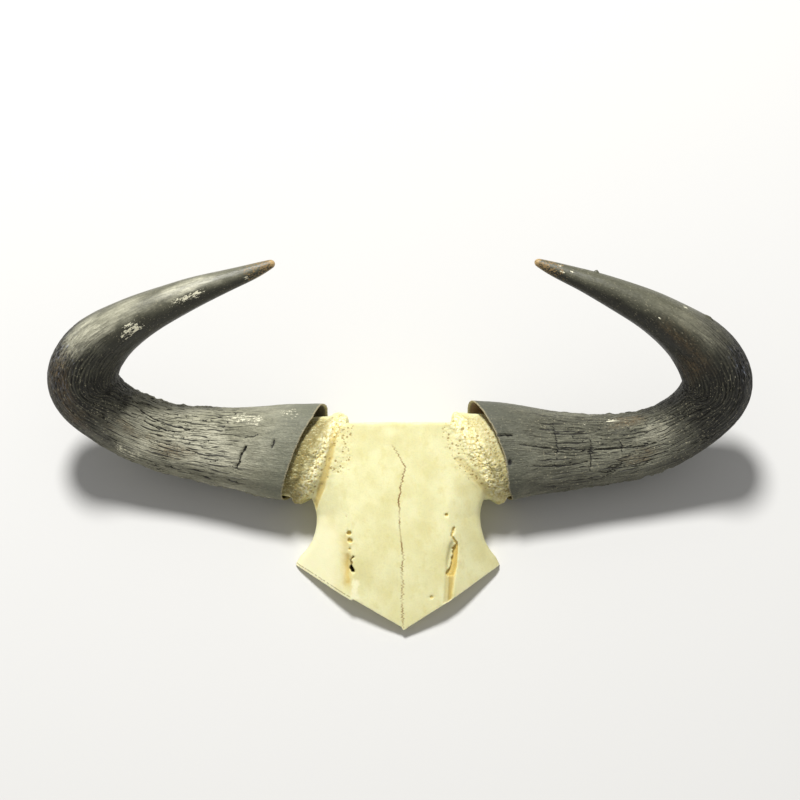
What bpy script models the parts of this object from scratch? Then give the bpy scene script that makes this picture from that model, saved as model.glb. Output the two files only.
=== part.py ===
"""Skull cap of a blue wildebeest: the sawn top of the skull with its two horn sheaths.

Everything is modelled in the forehead's own frame: x runs to the animal's left, y from
the sawn nose tip to the crown, and z straight out of the forehead. One empty then leans
that frame nose down, so that the saw cut under the skull lies flat on the floor at z = 0.
"""

import math
from collections import namedtuple

import bmesh
import bpy
from mathutils import Matrix, Vector

MM = 0.001

# How the cap lies: the lean of the forehead, and where the frame's origin ends up
LEAN = math.radians(24.0)
NOSE_HEIGHT = 9.0 * MM
ORIGIN_SHIFT = Vector((0.0, -135.0 * MM, 0.0))

# Gap kept between bone and horn, which are two solids that touch
PLAY = 0.35 * MM

# Horn sheaths: ring spacing, corners of a ring, wall at the mouth, depth of the socket
RING_STEP = 11.0 * MM
RING_SIDES = 32
SHEATH_WALL = 3.4 * MM
SOCKET_LENGTH = 118.0 * MM
CORE_LENGTH = 106.0 * MM
CORE_HEADROOM = 7.5 * MM

# Rounded ends: how long each is, and where its rings lie from the last straight one
TIP_BLUNT = 4.0 * MM
SOCKET_BLUNT = 20.0 * MM
CORE_BLUNT = 18.0 * MM
END_RINGS = (0.45, 0.8, 0.97)

# Front of a horn: how square its section is at the base, and where it turns round again
SQUARENESS = 2.7
ROUND_START = 150.0 * MM
ROUND_BLEND = 120.0 * MM

# Centre line of each horn from the skull outwards: place, then half-size in the
# forehead's plane and half-size square to it, all in millimetres
Station = namedtuple("Station", "x y z across deep")
RIGHT_HORN = (
    Station(-46, 147.5, -34, 44, 36.5),
    Station(-97, 148.7, -35, 41.7, 36),
    Station(-128, 151.3, -37, 37, 34.5),
    Station(-165, 155.3, -39, 32.2, 32),
    Station(-208, 163, -38, 29.2, 30),
    Station(-249.8, 183, -27, 28.3, 29.1),
    Station(-271, 209.1, -7, 30.6, 29.4),
    Station(-261.5, 233, 9, 27.8, 27.8),
    Station(-228.2, 258.5, 26, 20.2, 20.7),
    Station(-175.1, 282.6, 32, 13.2, 13.5),
    Station(-118.3, 302.7, 33, 6.2, 6.2),
    Station(-104.3, 308.9, 33, 3, 3),
)
LEFT_HORN = (
    Station(46, 148.5, -34, 46, 37),
    Station(86, 149, -35, 43.7, 36),
    Station(108, 149.5, -36, 39.5, 35.4),
    Station(139, 149.8, -37, 34.2, 33.5),
    Station(181, 152, -39, 29.7, 30.5),
    Station(222, 160, -37, 27.8, 29),
    Station(255.3, 180.4, -26, 27.3, 28.1),
    Station(271.9, 206, -7, 29.7, 28.4),
    Station(258.9, 232.5, 9, 27, 26.8),
    Station(226.2, 259, 26, 19.5, 20.2),
    Station(173, 285.7, 32, 12.1, 13),
    Station(121.3, 305.8, 33, 5.1, 5.3),
    Station(112.1, 309.9, 33, 2.7, 2.7),
)

# Each sheath's mouth is one slanting cut: a point on it, in millimetres, and its turn
RIGHT_MOUTH = ((-66.8, 190.7, -34), math.radians(-21.4))
LEFT_MOUTH = ((62.9, 193.3, -34), math.radians(21.5))
MOUTH_TILT = math.radians(16.0)
MOUTH_CUT_TOP = 60.0 * MM

# Outline of the forehead: distance from the nose tip, half-width on each side
Width = namedtuple("Width", "y right left")
FOREHEAD = (
    Width(-14, 94, 90),
    Width(40, 93.5, 89),
    Width(53, 90.5, 86),
    Width(60, 85.2, 82.4),
    Width(69, 78, 75.6),
    Width(80, 73.6, 71.3),
    Width(92, 71.8, 69),
    Width(103, 73.6, 70),
    Width(114, 77, 73.5),
    Width(150, 74, 71),
    Width(166, 62, 60),
    Width(175, 45, 44),
)
SECTION_COUNT = 27
TOP_POINTS = 21
WALL_STEPS = (0.3, 0.65, 1.0)

# Cutting boxes reach this far, well past the object
REACH = 300.0 * MM

# Plain finishes: colour and roughness
BONE_FINISH = ((0.83, 0.77, 0.56), 0.75)
HORN_FINISH = ((0.07, 0.07, 0.055), 0.6)

# Forehead relief: rise of the crown, fall of the sides, rounding of the side edges
CROWN_RISE = 5.0 * MM
SIDE_FALL = 3.0 * MM
FLAT_HALF_WIDTH = 43.0 * MM
WING_SLOPE = 0.42
EDGE_RADIUS = 5.0 * MM

# The wings level out towards the horn roots, from this distance on and over this length
ROOT_START = 95.0 * MM
ROOT_BLEND = 35.0 * MM
ROOT_LEVELLING = 0.8

# Side walls: how far they draw in at the foot, where that begins, and how they curve
WALL_TUCK = 17.0 * MM
TUCK_START = 58.0 * MM
TUCK_BLEND = 24.0 * MM
WALL_CURVE = 0.7
BELOW_SAW = 8.0 * MM

# Saw cuts that make the pointed nose end: lean of each edge from the cross line
RIGHT_NOSE_CUT = math.radians(-29.8)
LEFT_NOSE_CUT = math.radians(32.6)
NOSE_TIP = Vector((3.0, -1.9, 0.0)) * MM

# Rough ridge round the root of each horn core
BURR_CENTRE = (69, 143.8, -36)
BURR_SIZE = (38.0, 34.0)
BURR_THICKNESS = 5.5
BURR_TURN = math.radians(27.0)
BURR_STEPS = 28
BURR_SIDES = 8

# Balls that cut the hollows: faces round and from pole to pole
BALL_ROUND = 20
BALL_RINGS = 12

# Hollows: centre, three half-sizes and turn, in millimetres and degrees
BRAIN_VAULT = ((0, 116, -58), (39, 43, 40), 0)
SINUSES = (((-27, 62, -32), (17, 26, 17), -8), ((27, 62, -32), (17, 26, 17), 8))
BROW_PITS = (((-45, 52, 2.5), (5, 14, 5), 4), ((43.5, 61, 2.5), (3.8, 17, 5.5), -9))
OCCIPUT = ((0, 138, -62), (50, 35, 52), 0)

# Crest that overhangs the back of the skull: its depth, and where the wall turns under
CREST_DEPTH = 15.0 * MM
CREST_START = 153.0 * MM
CREST_TURN = 14.0 * MM


def make_collection(name):
    """Return a new collection linked to the scene."""
    collection = bpy.data.collections.new(name)
    bpy.context.scene.collection.children.link(collection)
    return collection


def make_material(name, colour, roughness):
    """Return a plain Principled material."""
    material = bpy.data.materials.new(name)
    material.use_nodes = True
    shader = material.node_tree.nodes["Principled BSDF"]
    shader.inputs["Base Color"].default_value = (*colour, 1.0)
    shader.inputs["Roughness"].default_value = roughness
    shader.inputs["Metallic"].default_value = 0.0
    return material


def add_object(name, shape, collection, parent=None, material=None):
    """Turn a bmesh into an object, shaded smooth, in a collection."""
    bmesh.ops.recalc_face_normals(shape, faces=shape.faces)
    mesh = bpy.data.meshes.new(name)
    shape.to_mesh(mesh)
    shape.free()
    mesh.shade_smooth()
    item = bpy.data.objects.new(name, mesh)
    item.parent = parent
    if material:
        mesh.materials.append(material)
    collection.objects.link(item)
    return item


def as_cutter(item):
    """Keep an object out of the render: it only shapes others."""
    item.hide_render = True
    item.display_type = "WIRE"
    return item


def boolean(target, operation, name, other=None, collection=None):
    """Add a Boolean with one object or a whole collection."""
    modifier = target.modifiers.new(name, "BOOLEAN")
    modifier.operation = operation
    modifier.solver = "EXACT"
    if collection:
        modifier.operand_type = "COLLECTION"
        modifier.collection = collection
    else:
        modifier.object = other
    return modifier


def ease(values, keys, at):
    """Smooth curve through (key, value) pairs, with a value list of equal-length rows."""
    last = len(keys) - 1
    index = max(0, min(last - 1, sum(1 for key in keys if key <= at) - 1))

    def slope(i):
        low, high = max(0, i - 1), min(last, i + 1)
        span = keys[high] - keys[low]
        return [(b - a) / span for a, b in zip(values[low], values[high])]

    span = keys[index + 1] - keys[index]
    u = (at - keys[index]) / span
    start, end = slope(index), slope(index + 1)
    return [
        a * (1 + 2 * u) * (1 - u) ** 2
        + b * u * u * (3 - 2 * u)
        + span * (da * u * (1 - u) ** 2 + db * u * u * (u - 1))
        for a, b, da, db in zip(values[index], values[index + 1], start, end)
    ]


def fullness(turn, along):
    """How far the squared-off front of a horn stands out beyond an ellipse, as a factor."""
    if math.sin(turn) <= 0:
        return 1.0
    part = max(0.0, min(1.0, (along - ROUND_START) / ROUND_BLEND))
    power = 2 + (SQUARENESS - 2) * (1 - part * part * (3 - 2 * part))
    total = abs(math.cos(turn)) ** power + math.sin(turn) ** power
    return total ** (-1 / power)


class HornPath:
    """Centre line and section of a horn, measured along its length in metres."""

    def __init__(self, stations):
        self.rows = [[value * MM for value in station] for station in stations]
        self.keys = [0.0]
        for near, far in zip(self.rows, self.rows[1:]):
            self.keys.append(self.keys[-1] + math.dist(near[:3], far[:3]))
        self.length = self.keys[-1]

    def ring(self, along, shrink=0.0, scale=1.0, headroom=0.0):
        """Ring round the centre line, smaller by shrink, and by headroom towards the crown."""
        x, y, z, across, deep = ease(self.rows, self.keys, along)
        nearby = 0.5 * MM
        before = Vector(ease(self.rows, self.keys, along - nearby)[:3])
        after = Vector(ease(self.rows, self.keys, along + nearby)[:3])
        tangent = (after - before).normalized()
        side = Vector((0, 0, 1)).cross(tangent).normalized()
        out = tangent.cross(side)
        centre = Vector((x, y, z))
        points = []
        for i in range(RING_SIDES):
            turn = math.tau * i / RING_SIDES
            crownward = side.y * math.cos(turn) > 0
            full = scale * fullness(turn, along)
            reach = (across - shrink - (headroom if crownward else 0.0)) * full
            depth = (deep - shrink) * full
            points.append(centre + side * reach * math.cos(turn) + out * depth * math.sin(turn))
        return points

    def rings(self, start, stop, blunt, **fit):
        """Rings from start to stop, closed over a rounded end that is blunt long."""
        count = int((stop - blunt - start) / RING_STEP)
        straight = [start + RING_STEP * i for i in range(count)] + [stop - blunt]
        rings = [self.ring(along, **fit) for along in straight]
        for part in END_RINGS:
            scale = math.sqrt(1 - part * part)
            rings.append(self.ring(stop - blunt + blunt * part, scale=scale, **fit))
        return rings


def loft(rings):
    """Join rings of equal length with quads and close both ends."""
    shape = bmesh.new()
    rows = [[shape.verts.new(point) for point in ring] for ring in rings]
    count = len(rows[0])
    for near, far in zip(rows, rows[1:]):
        for i in range(count):
            j = (i + 1) % count
            shape.faces.new((near[i], near[j], far[j], far[i]))
    shape.faces.new(rows[0])
    shape.faces.new(rows[-1])
    return shape


def ellipsoid(centre, radii, degrees):
    """Ball stretched to three radii, turned about the forehead's normal."""
    shape = bmesh.new()
    turn = Matrix.Rotation(math.radians(degrees), 4, "Z")
    place = Matrix.Translation(Vector(centre) * MM) @ turn
    size = Matrix.Diagonal((*(radius * MM for radius in radii), 1.0))
    bmesh.ops.create_uvsphere(
        shape, u_segments=BALL_ROUND, v_segments=BALL_RINGS, radius=1.0, matrix=place @ size
    )
    return shape


def block(low, high, place=None):
    """Box between two corners in metres, with an optional placing matrix."""
    shape = bmesh.new()
    low, high = Vector(low), Vector(high)
    size = Matrix.Diagonal((*(high - low), 1.0))
    middle = Matrix.Translation((low + high) / 2)
    bmesh.ops.create_cube(shape, size=1.0, matrix=(place or Matrix()) @ middle @ size)
    return shape


def mouth_block(point, turn, side):
    """Box that takes away the skull side of a sheath along its slanting mouth."""
    place = Matrix.Translation(Vector(point) * MM) @ Matrix.Rotation(turn, 4, "Z")
    place = place @ Matrix.Rotation(side * MOUTH_TILT, 4, "Y")
    inner, outer = sorted((-side * REACH, 0.0))
    return block((inner, -REACH, -REACH), (outer, MOUTH_CUT_TOP, REACH), place)


def burr(side):
    """Raised ring of rough bone round the root of a horn core."""
    x, y, z = BURR_CENTRE
    across, deep = BURR_SIZE
    turn = Matrix.Rotation(side * BURR_TURN, 4, "Z")
    turn = turn @ Matrix.Rotation(side * MOUTH_TILT, 4, "Y")
    centre = Vector((side * x, y, z)) * MM
    shape = bmesh.new()
    rows = []
    for i in range(BURR_STEPS):
        a = math.tau * i / BURR_STEPS
        row = []
        for j in range(BURR_SIDES):
            b = math.tau * j / BURR_SIDES
            grow = BURR_THICKNESS * math.cos(b)
            point = Vector((
                BURR_THICKNESS * math.sin(b),
                (across + grow) * math.cos(a),
                (deep + grow) * math.sin(a),
            ))
            row.append(shape.verts.new(centre + turn @ (point * MM)))
        rows.append(row)
    for i in range(BURR_STEPS):
        near, far = rows[i], rows[(i + 1) % BURR_STEPS]
        for j in range(BURR_SIDES):
            k = (j + 1) % BURR_SIDES
            shape.faces.new((near[j], near[k], far[k], far[j]))
    return shape


def saw_level(y):
    """Height of the saw plane under the forehead, in the forehead's frame."""
    return -(NOSE_HEIGHT + y * math.sin(LEAN)) / math.cos(LEAN)


def top_height(x, y, half_width):
    """Outer face of the forehead: crowned along and across, with rounded sides."""
    length = FOREHEAD[-1].y * MM
    reach = abs(x)
    crown = CROWN_RISE * math.sin(math.pi * max(0.0, min(1.0, y / length)))
    fall = SIDE_FALL * (reach / FLAT_HALF_WIDTH) ** 2
    wing = WING_SLOPE * max(0.0, reach - FLAT_HALF_WIDTH)
    horn_side = max(0.0, min(1.0, (y - ROOT_START) / ROOT_BLEND))
    into_edge = max(0.0, reach - half_width + EDGE_RADIUS) / EDGE_RADIUS
    rounding = EDGE_RADIUS * (1 - math.sqrt(1 - min(1.0, into_edge) ** 2))
    return crown - fall - wing * (1 - ROOT_LEVELLING * horn_side) - rounding


def forehead_ring(y):
    """Closed outline of the skull across the forehead at one distance from the nose."""
    keys = [row.y * MM for row in FOREHEAD]
    right, left = ease([[row.right * MM, row.left * MM] for row in FOREHEAD], keys, y)
    top = []
    for i in range(TOP_POINTS):
        across = math.sin(math.pi / 2 * (2 * i / (TOP_POINTS - 1) - 1))
        half_width = left if across > 0 else right
        x = across * half_width
        top.append(Vector((x, y, top_height(x, y, half_width))))
    floor = min(saw_level(y), top[0].z, top[-1].z) - BELOW_SAW
    crest = max(0.0, min(1.0, (y - CREST_START) / CREST_TURN))
    floor += (min(top[0].z, top[-1].z) - CREST_DEPTH - floor) * crest * crest * (3 - 2 * crest)
    tuck = WALL_TUCK * max(0.0, min(1.0, (y - TUCK_START) / TUCK_BLEND))

    def wall(corner, side):
        steps = []
        for part in WALL_STEPS:
            inward = side * tuck * part ** WALL_CURVE
            steps.append(Vector((corner.x - inward, y, corner.z + (floor - corner.z) * part)))
        return steps

    return top + wall(top[-1], 1) + wall(top[0], -1)[::-1]


def build_sheath(name, stations, mouth, side, material, parts, cutters, frame):
    """One horn sheath: a curved, tapering horn with a socket for the bone core."""
    path = HornPath(stations)
    horn = loft(path.rings(0.0, path.length, TIP_BLUNT))
    sheath = add_object(name, horn, parts, frame, material)
    hollow = loft(path.rings(0.0, SOCKET_LENGTH, SOCKET_BLUNT, shrink=SHEATH_WALL))
    socket = as_cutter(add_object(name + "_socket", hollow, cutters, frame))
    trim = mouth_block(*mouth, side)
    trim = as_cutter(add_object(name + "_mouth_trim", trim, cutters, frame))
    boolean(sheath, "DIFFERENCE", "Socket", socket)
    boolean(sheath, "DIFFERENCE", "Mouth", trim)
    return sheath


def build_core(name, stations, pieces, frame):
    """Bone core that carries a sheath, from the forehead to its blunt end."""
    path = HornPath(stations)
    shrink = SHEATH_WALL + PLAY
    rings = path.rings(0.0, CORE_LENGTH, CORE_BLUNT, shrink=shrink, headroom=CORE_HEADROOM)
    return add_object(name, loft(rings), pieces, frame)


def keep_largest_shell(item):
    """Drop any loose crumb that the union left beside the main surface."""
    shape = bmesh.new()
    shape.from_mesh(item.data)
    groups, seen = [], set()
    for start in shape.verts:
        if start in seen:
            continue
        group, queue = [], [start]
        seen.add(start)
        while queue:
            vert = queue.pop()
            group.append(vert)
            for edge in vert.link_edges:
                other = edge.other_vert(vert)
                if other not in seen:
                    seen.add(other)
                    queue.append(other)
        groups.append(group)
    groups.sort(key=len, reverse=True)
    for group in groups[1:]:
        bmesh.ops.delete(shape, geom=group, context="VERTS")
    shape.to_mesh(item.data)
    shape.free()


def build_skull(name, material, parts, cutters, frame):
    """Forehead, horn cores and burrs as one bone, sawn flat and hollowed beneath."""
    first, last = FOREHEAD[0].y * MM, FOREHEAD[-1].y * MM
    step = (last - first) / (SECTION_COUNT - 1)
    sections = [forehead_ring(first + step * i) for i in range(SECTION_COUNT)]
    skull = add_object(name, loft(sections), parts, frame, material)

    pieces = make_collection(name + "_pieces")
    build_core("right_core", RIGHT_HORN, pieces, frame)
    build_core("left_core", LEFT_HORN, pieces, frame)
    add_object("right_burr", burr(-1), pieces, frame)
    add_object("left_burr", burr(1), pieces, frame)
    add_object("occiput", ellipsoid(*OCCIPUT), pieces, frame)
    boolean(skull, "UNION", "Join", collection=pieces)
    bpy.context.view_layer.update()
    joined = skull.evaluated_get(bpy.context.evaluated_depsgraph_get())
    skull.data = bpy.data.meshes.new_from_object(joined)
    skull.modifiers.clear()
    for piece in list(pieces.objects):
        bpy.data.objects.remove(piece)
    bpy.data.collections.remove(pieces)
    keep_largest_shell(skull)

    low, high = (-REACH, -REACH, -REACH), (REACH, 0.0, REACH)
    for label, angle in (("right_nose_cut", RIGHT_NOSE_CUT), ("left_nose_cut", LEFT_NOSE_CUT)):
        place = Matrix.Translation(NOSE_TIP) @ Matrix.Rotation(angle, 4, "Z")
        nose = as_cutter(add_object(label, block(low, high, place), cutters, frame))
        boolean(skull, "DIFFERENCE", label, nose)
    for i, hollow in enumerate((BRAIN_VAULT, *SINUSES, *BROW_PITS)):
        pit = as_cutter(add_object(f"hollow_{i}", ellipsoid(*hollow), cutters, frame))
        boolean(skull, "DIFFERENCE", f"Hollow {i}", pit)
    floor = block((-2 * REACH, -2 * REACH, -REACH), (2 * REACH, 2 * REACH, 0.0))
    floor = as_cutter(add_object("saw_plane", floor, cutters))
    boolean(skull, "DIFFERENCE", "Saw", floor)
    return skull


def main():
    """Build the skull cap, resting on its saw cut."""
    for item in list(bpy.data.objects):
        bpy.data.objects.remove(item)
    parts = make_collection("wildebeest_skull_cap")
    cutters = make_collection("cutters")
    frame = bpy.data.objects.new("forehead_frame", None)
    frame.location = Vector((0.0, 0.0, NOSE_HEIGHT)) + ORIGIN_SHIFT
    frame.rotation_euler = (LEAN, 0.0, 0.0)
    parts.objects.link(frame)
    bpy.context.view_layer.update()

    bone = make_material("bone", *BONE_FINISH)
    horn = make_material("horn", *HORN_FINISH)
    build_skull("skull_cap", bone, parts, cutters, frame)
    build_sheath(
        "horn_sheath_right", RIGHT_HORN, RIGHT_MOUTH, -1, horn, parts, cutters, frame
    )
    build_sheath(
        "horn_sheath_left", LEFT_HORN, LEFT_MOUTH, 1, horn, parts, cutters, frame
    )
    bpy.context.view_layer.update()


main()
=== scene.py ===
"""Wildebeest skull cap, dressed: weathered bone and two cracked, dark horn sheaths.

Shapes are worked out in the forehead's own frame, in millimetres: x to the animal's
left, y from the nose tip to the crown, z straight out of the forehead. One change of
frame then leans them into the room, where the saw cut under the skull lies on the floor.
A number added to places before a pattern is read only moves the pattern, so that no two
patterns lie alike.
"""

import logging
import math
from dataclasses import dataclass, field
from enum import Enum

import bpy
import numpy as np
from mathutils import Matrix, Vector, kdtree


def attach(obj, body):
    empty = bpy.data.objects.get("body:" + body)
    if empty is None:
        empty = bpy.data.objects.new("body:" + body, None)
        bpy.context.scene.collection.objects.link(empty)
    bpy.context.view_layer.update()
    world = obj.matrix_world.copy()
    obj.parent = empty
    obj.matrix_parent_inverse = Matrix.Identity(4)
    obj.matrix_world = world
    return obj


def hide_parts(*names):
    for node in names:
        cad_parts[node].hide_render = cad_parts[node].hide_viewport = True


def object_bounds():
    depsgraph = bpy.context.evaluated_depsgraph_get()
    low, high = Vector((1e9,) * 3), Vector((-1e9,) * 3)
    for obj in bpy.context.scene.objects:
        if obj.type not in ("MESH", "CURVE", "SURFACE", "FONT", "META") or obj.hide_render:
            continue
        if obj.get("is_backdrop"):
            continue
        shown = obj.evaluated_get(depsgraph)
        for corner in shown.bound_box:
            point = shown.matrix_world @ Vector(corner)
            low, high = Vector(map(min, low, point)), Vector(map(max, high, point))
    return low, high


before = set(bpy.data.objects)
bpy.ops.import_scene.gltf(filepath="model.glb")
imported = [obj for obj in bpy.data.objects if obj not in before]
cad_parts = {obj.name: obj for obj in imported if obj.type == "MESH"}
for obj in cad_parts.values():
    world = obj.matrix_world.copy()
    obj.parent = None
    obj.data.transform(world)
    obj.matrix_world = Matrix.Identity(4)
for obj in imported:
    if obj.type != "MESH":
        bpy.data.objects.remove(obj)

LOG = logging.getLogger("skull_cap")
MM = 0.001
UP = np.array([0.0, 0.0, 1.0])
TURN = 2 * math.pi

Rows = np.ndarray
Size = float | tuple[float, ...]
Path = tuple[tuple[float, float], ...]
Marks = dict[str, np.ndarray]


class Side(Enum):
    """The animal's own right or left, as the sign of x."""

    RIGHT = -1
    LEFT = 1


@dataclass(frozen=True)
class ForeheadFrame:
    """How the forehead's frame leans in the room, and where its nose tip is."""

    lean: float = math.radians(24.0)
    nose: tuple[float, float, float] = (0.0, -135.0, 9.0)

    def turned(self, ways: Rows, back: bool = False) -> Rows:
        """Turn directions from one frame to the other.

        Args:
            ways: Directions in the forehead's frame, or in the room where back is true.
            back: Whether to turn them from the room to the forehead's frame.

        Returns:
            The directions in the other frame.
        """
        cos, sin = math.cos(self.lean), math.sin(-self.lean if back else self.lean)
        x, y, z = (ways[..., axis] for axis in range(3))
        return np.stack((x, y * cos - z * sin, y * sin + z * cos), axis=-1)

    def to_room(self, places: Rows) -> Rows:
        """Places in metres in the room, from millimetres in the forehead's frame."""
        return (self.turned(places) + self.nose) * MM

    def to_forehead(self, places: Rows) -> Rows:
        """Places in millimetres in the forehead's frame, from metres in the room."""
        return self.turned(places / MM - self.nose, back=True)


FOREHEAD = ForeheadFrame()


def rise(value: Rows, low: float, high: float) -> Rows:
    """Smooth step from 0 at low to 1 at high, also for a low above high."""
    part = np.clip((value - low) / (high - low), 0.0, 1.0)
    return part * part * (3 - 2 * part)


def unit(ways: Rows) -> Rows:
    """Directions made one long."""
    return ways / np.maximum(np.linalg.norm(ways, axis=-1, keepdims=True), 1e-9)


def hermite(rows: Rows, keys: Rows, at: Rows) -> Rows:
    """Smooth curve through rows of values.

    Args:
        rows: The values, one row for each key.
        keys: Where each row lies, rising.
        at: Where to read the curve.

    Returns:
        One row for each place in at.
    """
    last = len(keys) - 1
    below = np.maximum(np.arange(last + 1) - 1, 0)
    above = np.minimum(np.arange(last + 1) + 1, last)
    slopes = (rows[above] - rows[below]) / (keys[above] - keys[below])[:, None]
    index = np.clip(np.searchsorted(keys, at, side="right") - 1, 0, last - 1)
    span = (keys[index + 1] - keys[index])[:, None]
    u = (at - keys[index])[:, None] / span
    near = rows[index] * (1 + 2 * u) * (1 - u) ** 2 + rows[index + 1] * u * u * (3 - 2 * u)
    lean = slopes[index] * u * (1 - u) ** 2 + slopes[index + 1] * u * u * (u - 1)
    return near + span * lean


def soften(rows: Rows, width: float) -> Rows:
    """Blur closely sampled rows, with straight run-outs past both ends.

    Args:
        rows: Values one step apart.
        width: Spread of the blur, in steps.

    Returns:
        Rows of the same shape.
    """
    reach = int(3 * width)
    weights = np.exp(-0.5 * (np.arange(-reach, reach + 1) / width) ** 2)
    weights /= weights.sum()
    before = 2 * rows[0] - rows[reach:0:-1]
    after = 2 * rows[-1] - rows[-2 : -reach - 2 : -1]
    longer = np.concatenate((before, rows, after))
    return np.stack([np.convolve(line, weights, mode="valid") for line in longer.T], axis=1)


def path_gap(places: Rows, path: Path | Rows) -> Rows:
    """Distance to a path of straight runs, in any number of dimensions.

    Args:
        places: Where to measure from.
        path: The corners of the path.

    Returns:
        The distance from each place.
    """
    nearest = np.full(len(places), np.inf)
    corners = np.array(path)
    for start, end in zip(corners, corners[1:]):
        run = end - start
        part = np.clip((places - start) @ run / max(run @ run, 1e-12), 0.0, 1.0)
        gap = np.linalg.norm(places - start - part[:, None] * run, axis=1)
        nearest = np.minimum(nearest, gap)
    return nearest


class Grain:
    """Seeded noise and cell patterns in three dimensions."""

    def __init__(self, seed: int) -> None:
        """Draw the tables that the patterns are read from.

        Args:
            seed: Seed of the draw.
        """
        draw = np.random.default_rng(seed)
        self.order = np.tile(draw.permutation(256), 3)
        self.heights = draw.uniform(-1.0, 1.0, 256)
        self.seats = draw.uniform(0.12, 0.88, (256, 3))

    def _pick(self, cells: Rows) -> Rows:
        """One table place for each cell."""
        x, y, z = (cells[..., i] & 255 for i in range(3))
        return self.order[self.order[self.order[x] + y] + z]

    def smooth(self, places: Rows, size: Size) -> Rows:
        """Soft noise.

        Args:
            places: Rows of x, y, z.
            size: How far apart its bumps are, one number or one for each axis.

        Returns:
            One number from -1 to 1 for each place.
        """
        scaled = places / np.asarray(size)
        cells = np.floor(scaled).astype(np.int64)
        part = scaled - cells
        ease = part * part * part * (part * (part * 6 - 15) + 10)
        total = np.zeros(places.shape[:-1])
        for corner in np.ndindex(2, 2, 2):
            weight = np.ones(places.shape[:-1])
            for axis, far in enumerate(corner):
                weight = weight * (ease[..., axis] if far else 1 - ease[..., axis])
            total += weight * self.heights[self._pick(cells + np.array(corner))]
        return total

    def layered(self, places: Rows, size: Size, layers: int = 3) -> Rows:
        """Noise with finer and weaker layers on top.

        Args:
            places: Rows of x, y, z.
            size: Size of the largest bumps.
            layers: How many layers, each half as large and half as strong.

        Returns:
            One number of about -1 to 1 for each place.
        """
        total = np.zeros(places.shape[:-1])
        for i in range(layers):
            total += self.smooth(places + 37.0 * i, np.asarray(size) * 0.5**i) * 0.5**i
        return total / (2 - 0.5 ** (layers - 1))

    def cells(self, places: Rows, size: Size) -> tuple[Rows, Rows, Rows]:
        """Cell pattern.

        Args:
            places: Rows of x, y, z.
            size: Size of a cell, one number or one for each axis.

        Returns:
            Distance to the nearest seat and to the next one, in cells, and a number
            from -1 to 1 that belongs to the nearest cell.
        """
        shape, flat = places.shape[:-1], places.reshape(-1, 3)
        scaled = flat / np.asarray(size)
        base = np.floor(scaled).astype(np.int64)
        first, second, owner = (np.full(len(flat), start) for start in (9.0, 9.0, 0.0))
        for step in np.ndindex(3, 3, 3):
            cell = base + np.array(step) - 1
            picked = self._pick(cell)
            gap = np.linalg.norm(cell + self.seats[picked] - scaled, axis=-1)
            closer = gap < first
            second = np.where(closer, first, np.minimum(second, gap))
            owner = np.where(closer, self.heights[picked], owner)
            first = np.minimum(first, gap)
        return first.reshape(shape), second.reshape(shape), owner.reshape(shape)


class Wire:
    """A shader socket that reads like a number in an expression."""

    def __init__(self, bench: "Bench", socket: bpy.types.NodeSocket) -> None:
        """Keep the socket and the bench that its nodes stand on."""
        self.bench, self.socket = bench, socket

    def _math(self, operation: str, first: "Amount", second: "Amount" = 0.0) -> "Wire":
        """One Math node."""
        return self.bench.node("ShaderNodeMath", {"operation": operation}, {0: first, 1: second})

    def __add__(self, other: "Amount") -> "Wire":
        """Sum."""
        return self._math("ADD", self, other)

    def __sub__(self, other: "Amount") -> "Wire":
        """Difference."""
        return self._math("SUBTRACT", self, other)

    def __rsub__(self, other: "Amount") -> "Wire":
        """Difference, with the number first."""
        return self._math("SUBTRACT", other, self)

    def __mul__(self, other: "Amount") -> "Wire":
        """Product."""
        return self._math("MULTIPLY", self, other)

    __radd__, __rmul__ = __add__, __mul__

    def __abs__(self) -> "Wire":
        """Size without its sign."""
        return self._math("ABSOLUTE", self)

    def at_most(self, other: "Amount") -> "Wire":
        """The smaller of two values."""
        return self._math("MINIMUM", self, other)

    def at_least(self, other: "Amount") -> "Wire":
        """The larger of two values."""
        return self._math("MAXIMUM", self, other)

    def wave(self, count: int) -> "Wire":
        """Sine of a turn taken so many times."""
        return self._math("SINE", self * float(count))

    def rise(self, low: float, high: float) -> "Wire":
        """Smooth step from 0 at low to 1 at high, also for a low above high.

        Args:
            low: Value at which the step starts.
            high: Value at which it ends.

        Returns:
            The step.
        """
        if low > high:
            return 1 - self.rise(high, low)
        settings = {"interpolation_type": "SMOOTHSTEP"}
        return self.bench.node("ShaderNodeMapRange", settings, {0: self, 1: low, 2: high})


Amount = float | Wire
Colour = tuple[float, float, float, float]


def tone(*screen: float) -> Colour:
    """Colour from screen values of 0 to 255 for red, green and blue."""
    parts = [value / 255 for value in screen]
    return (*(p / 12.92 if p <= 0.04045 else ((p + 0.055) / 1.055) ** 2.4 for p in parts), 1.0)


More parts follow.
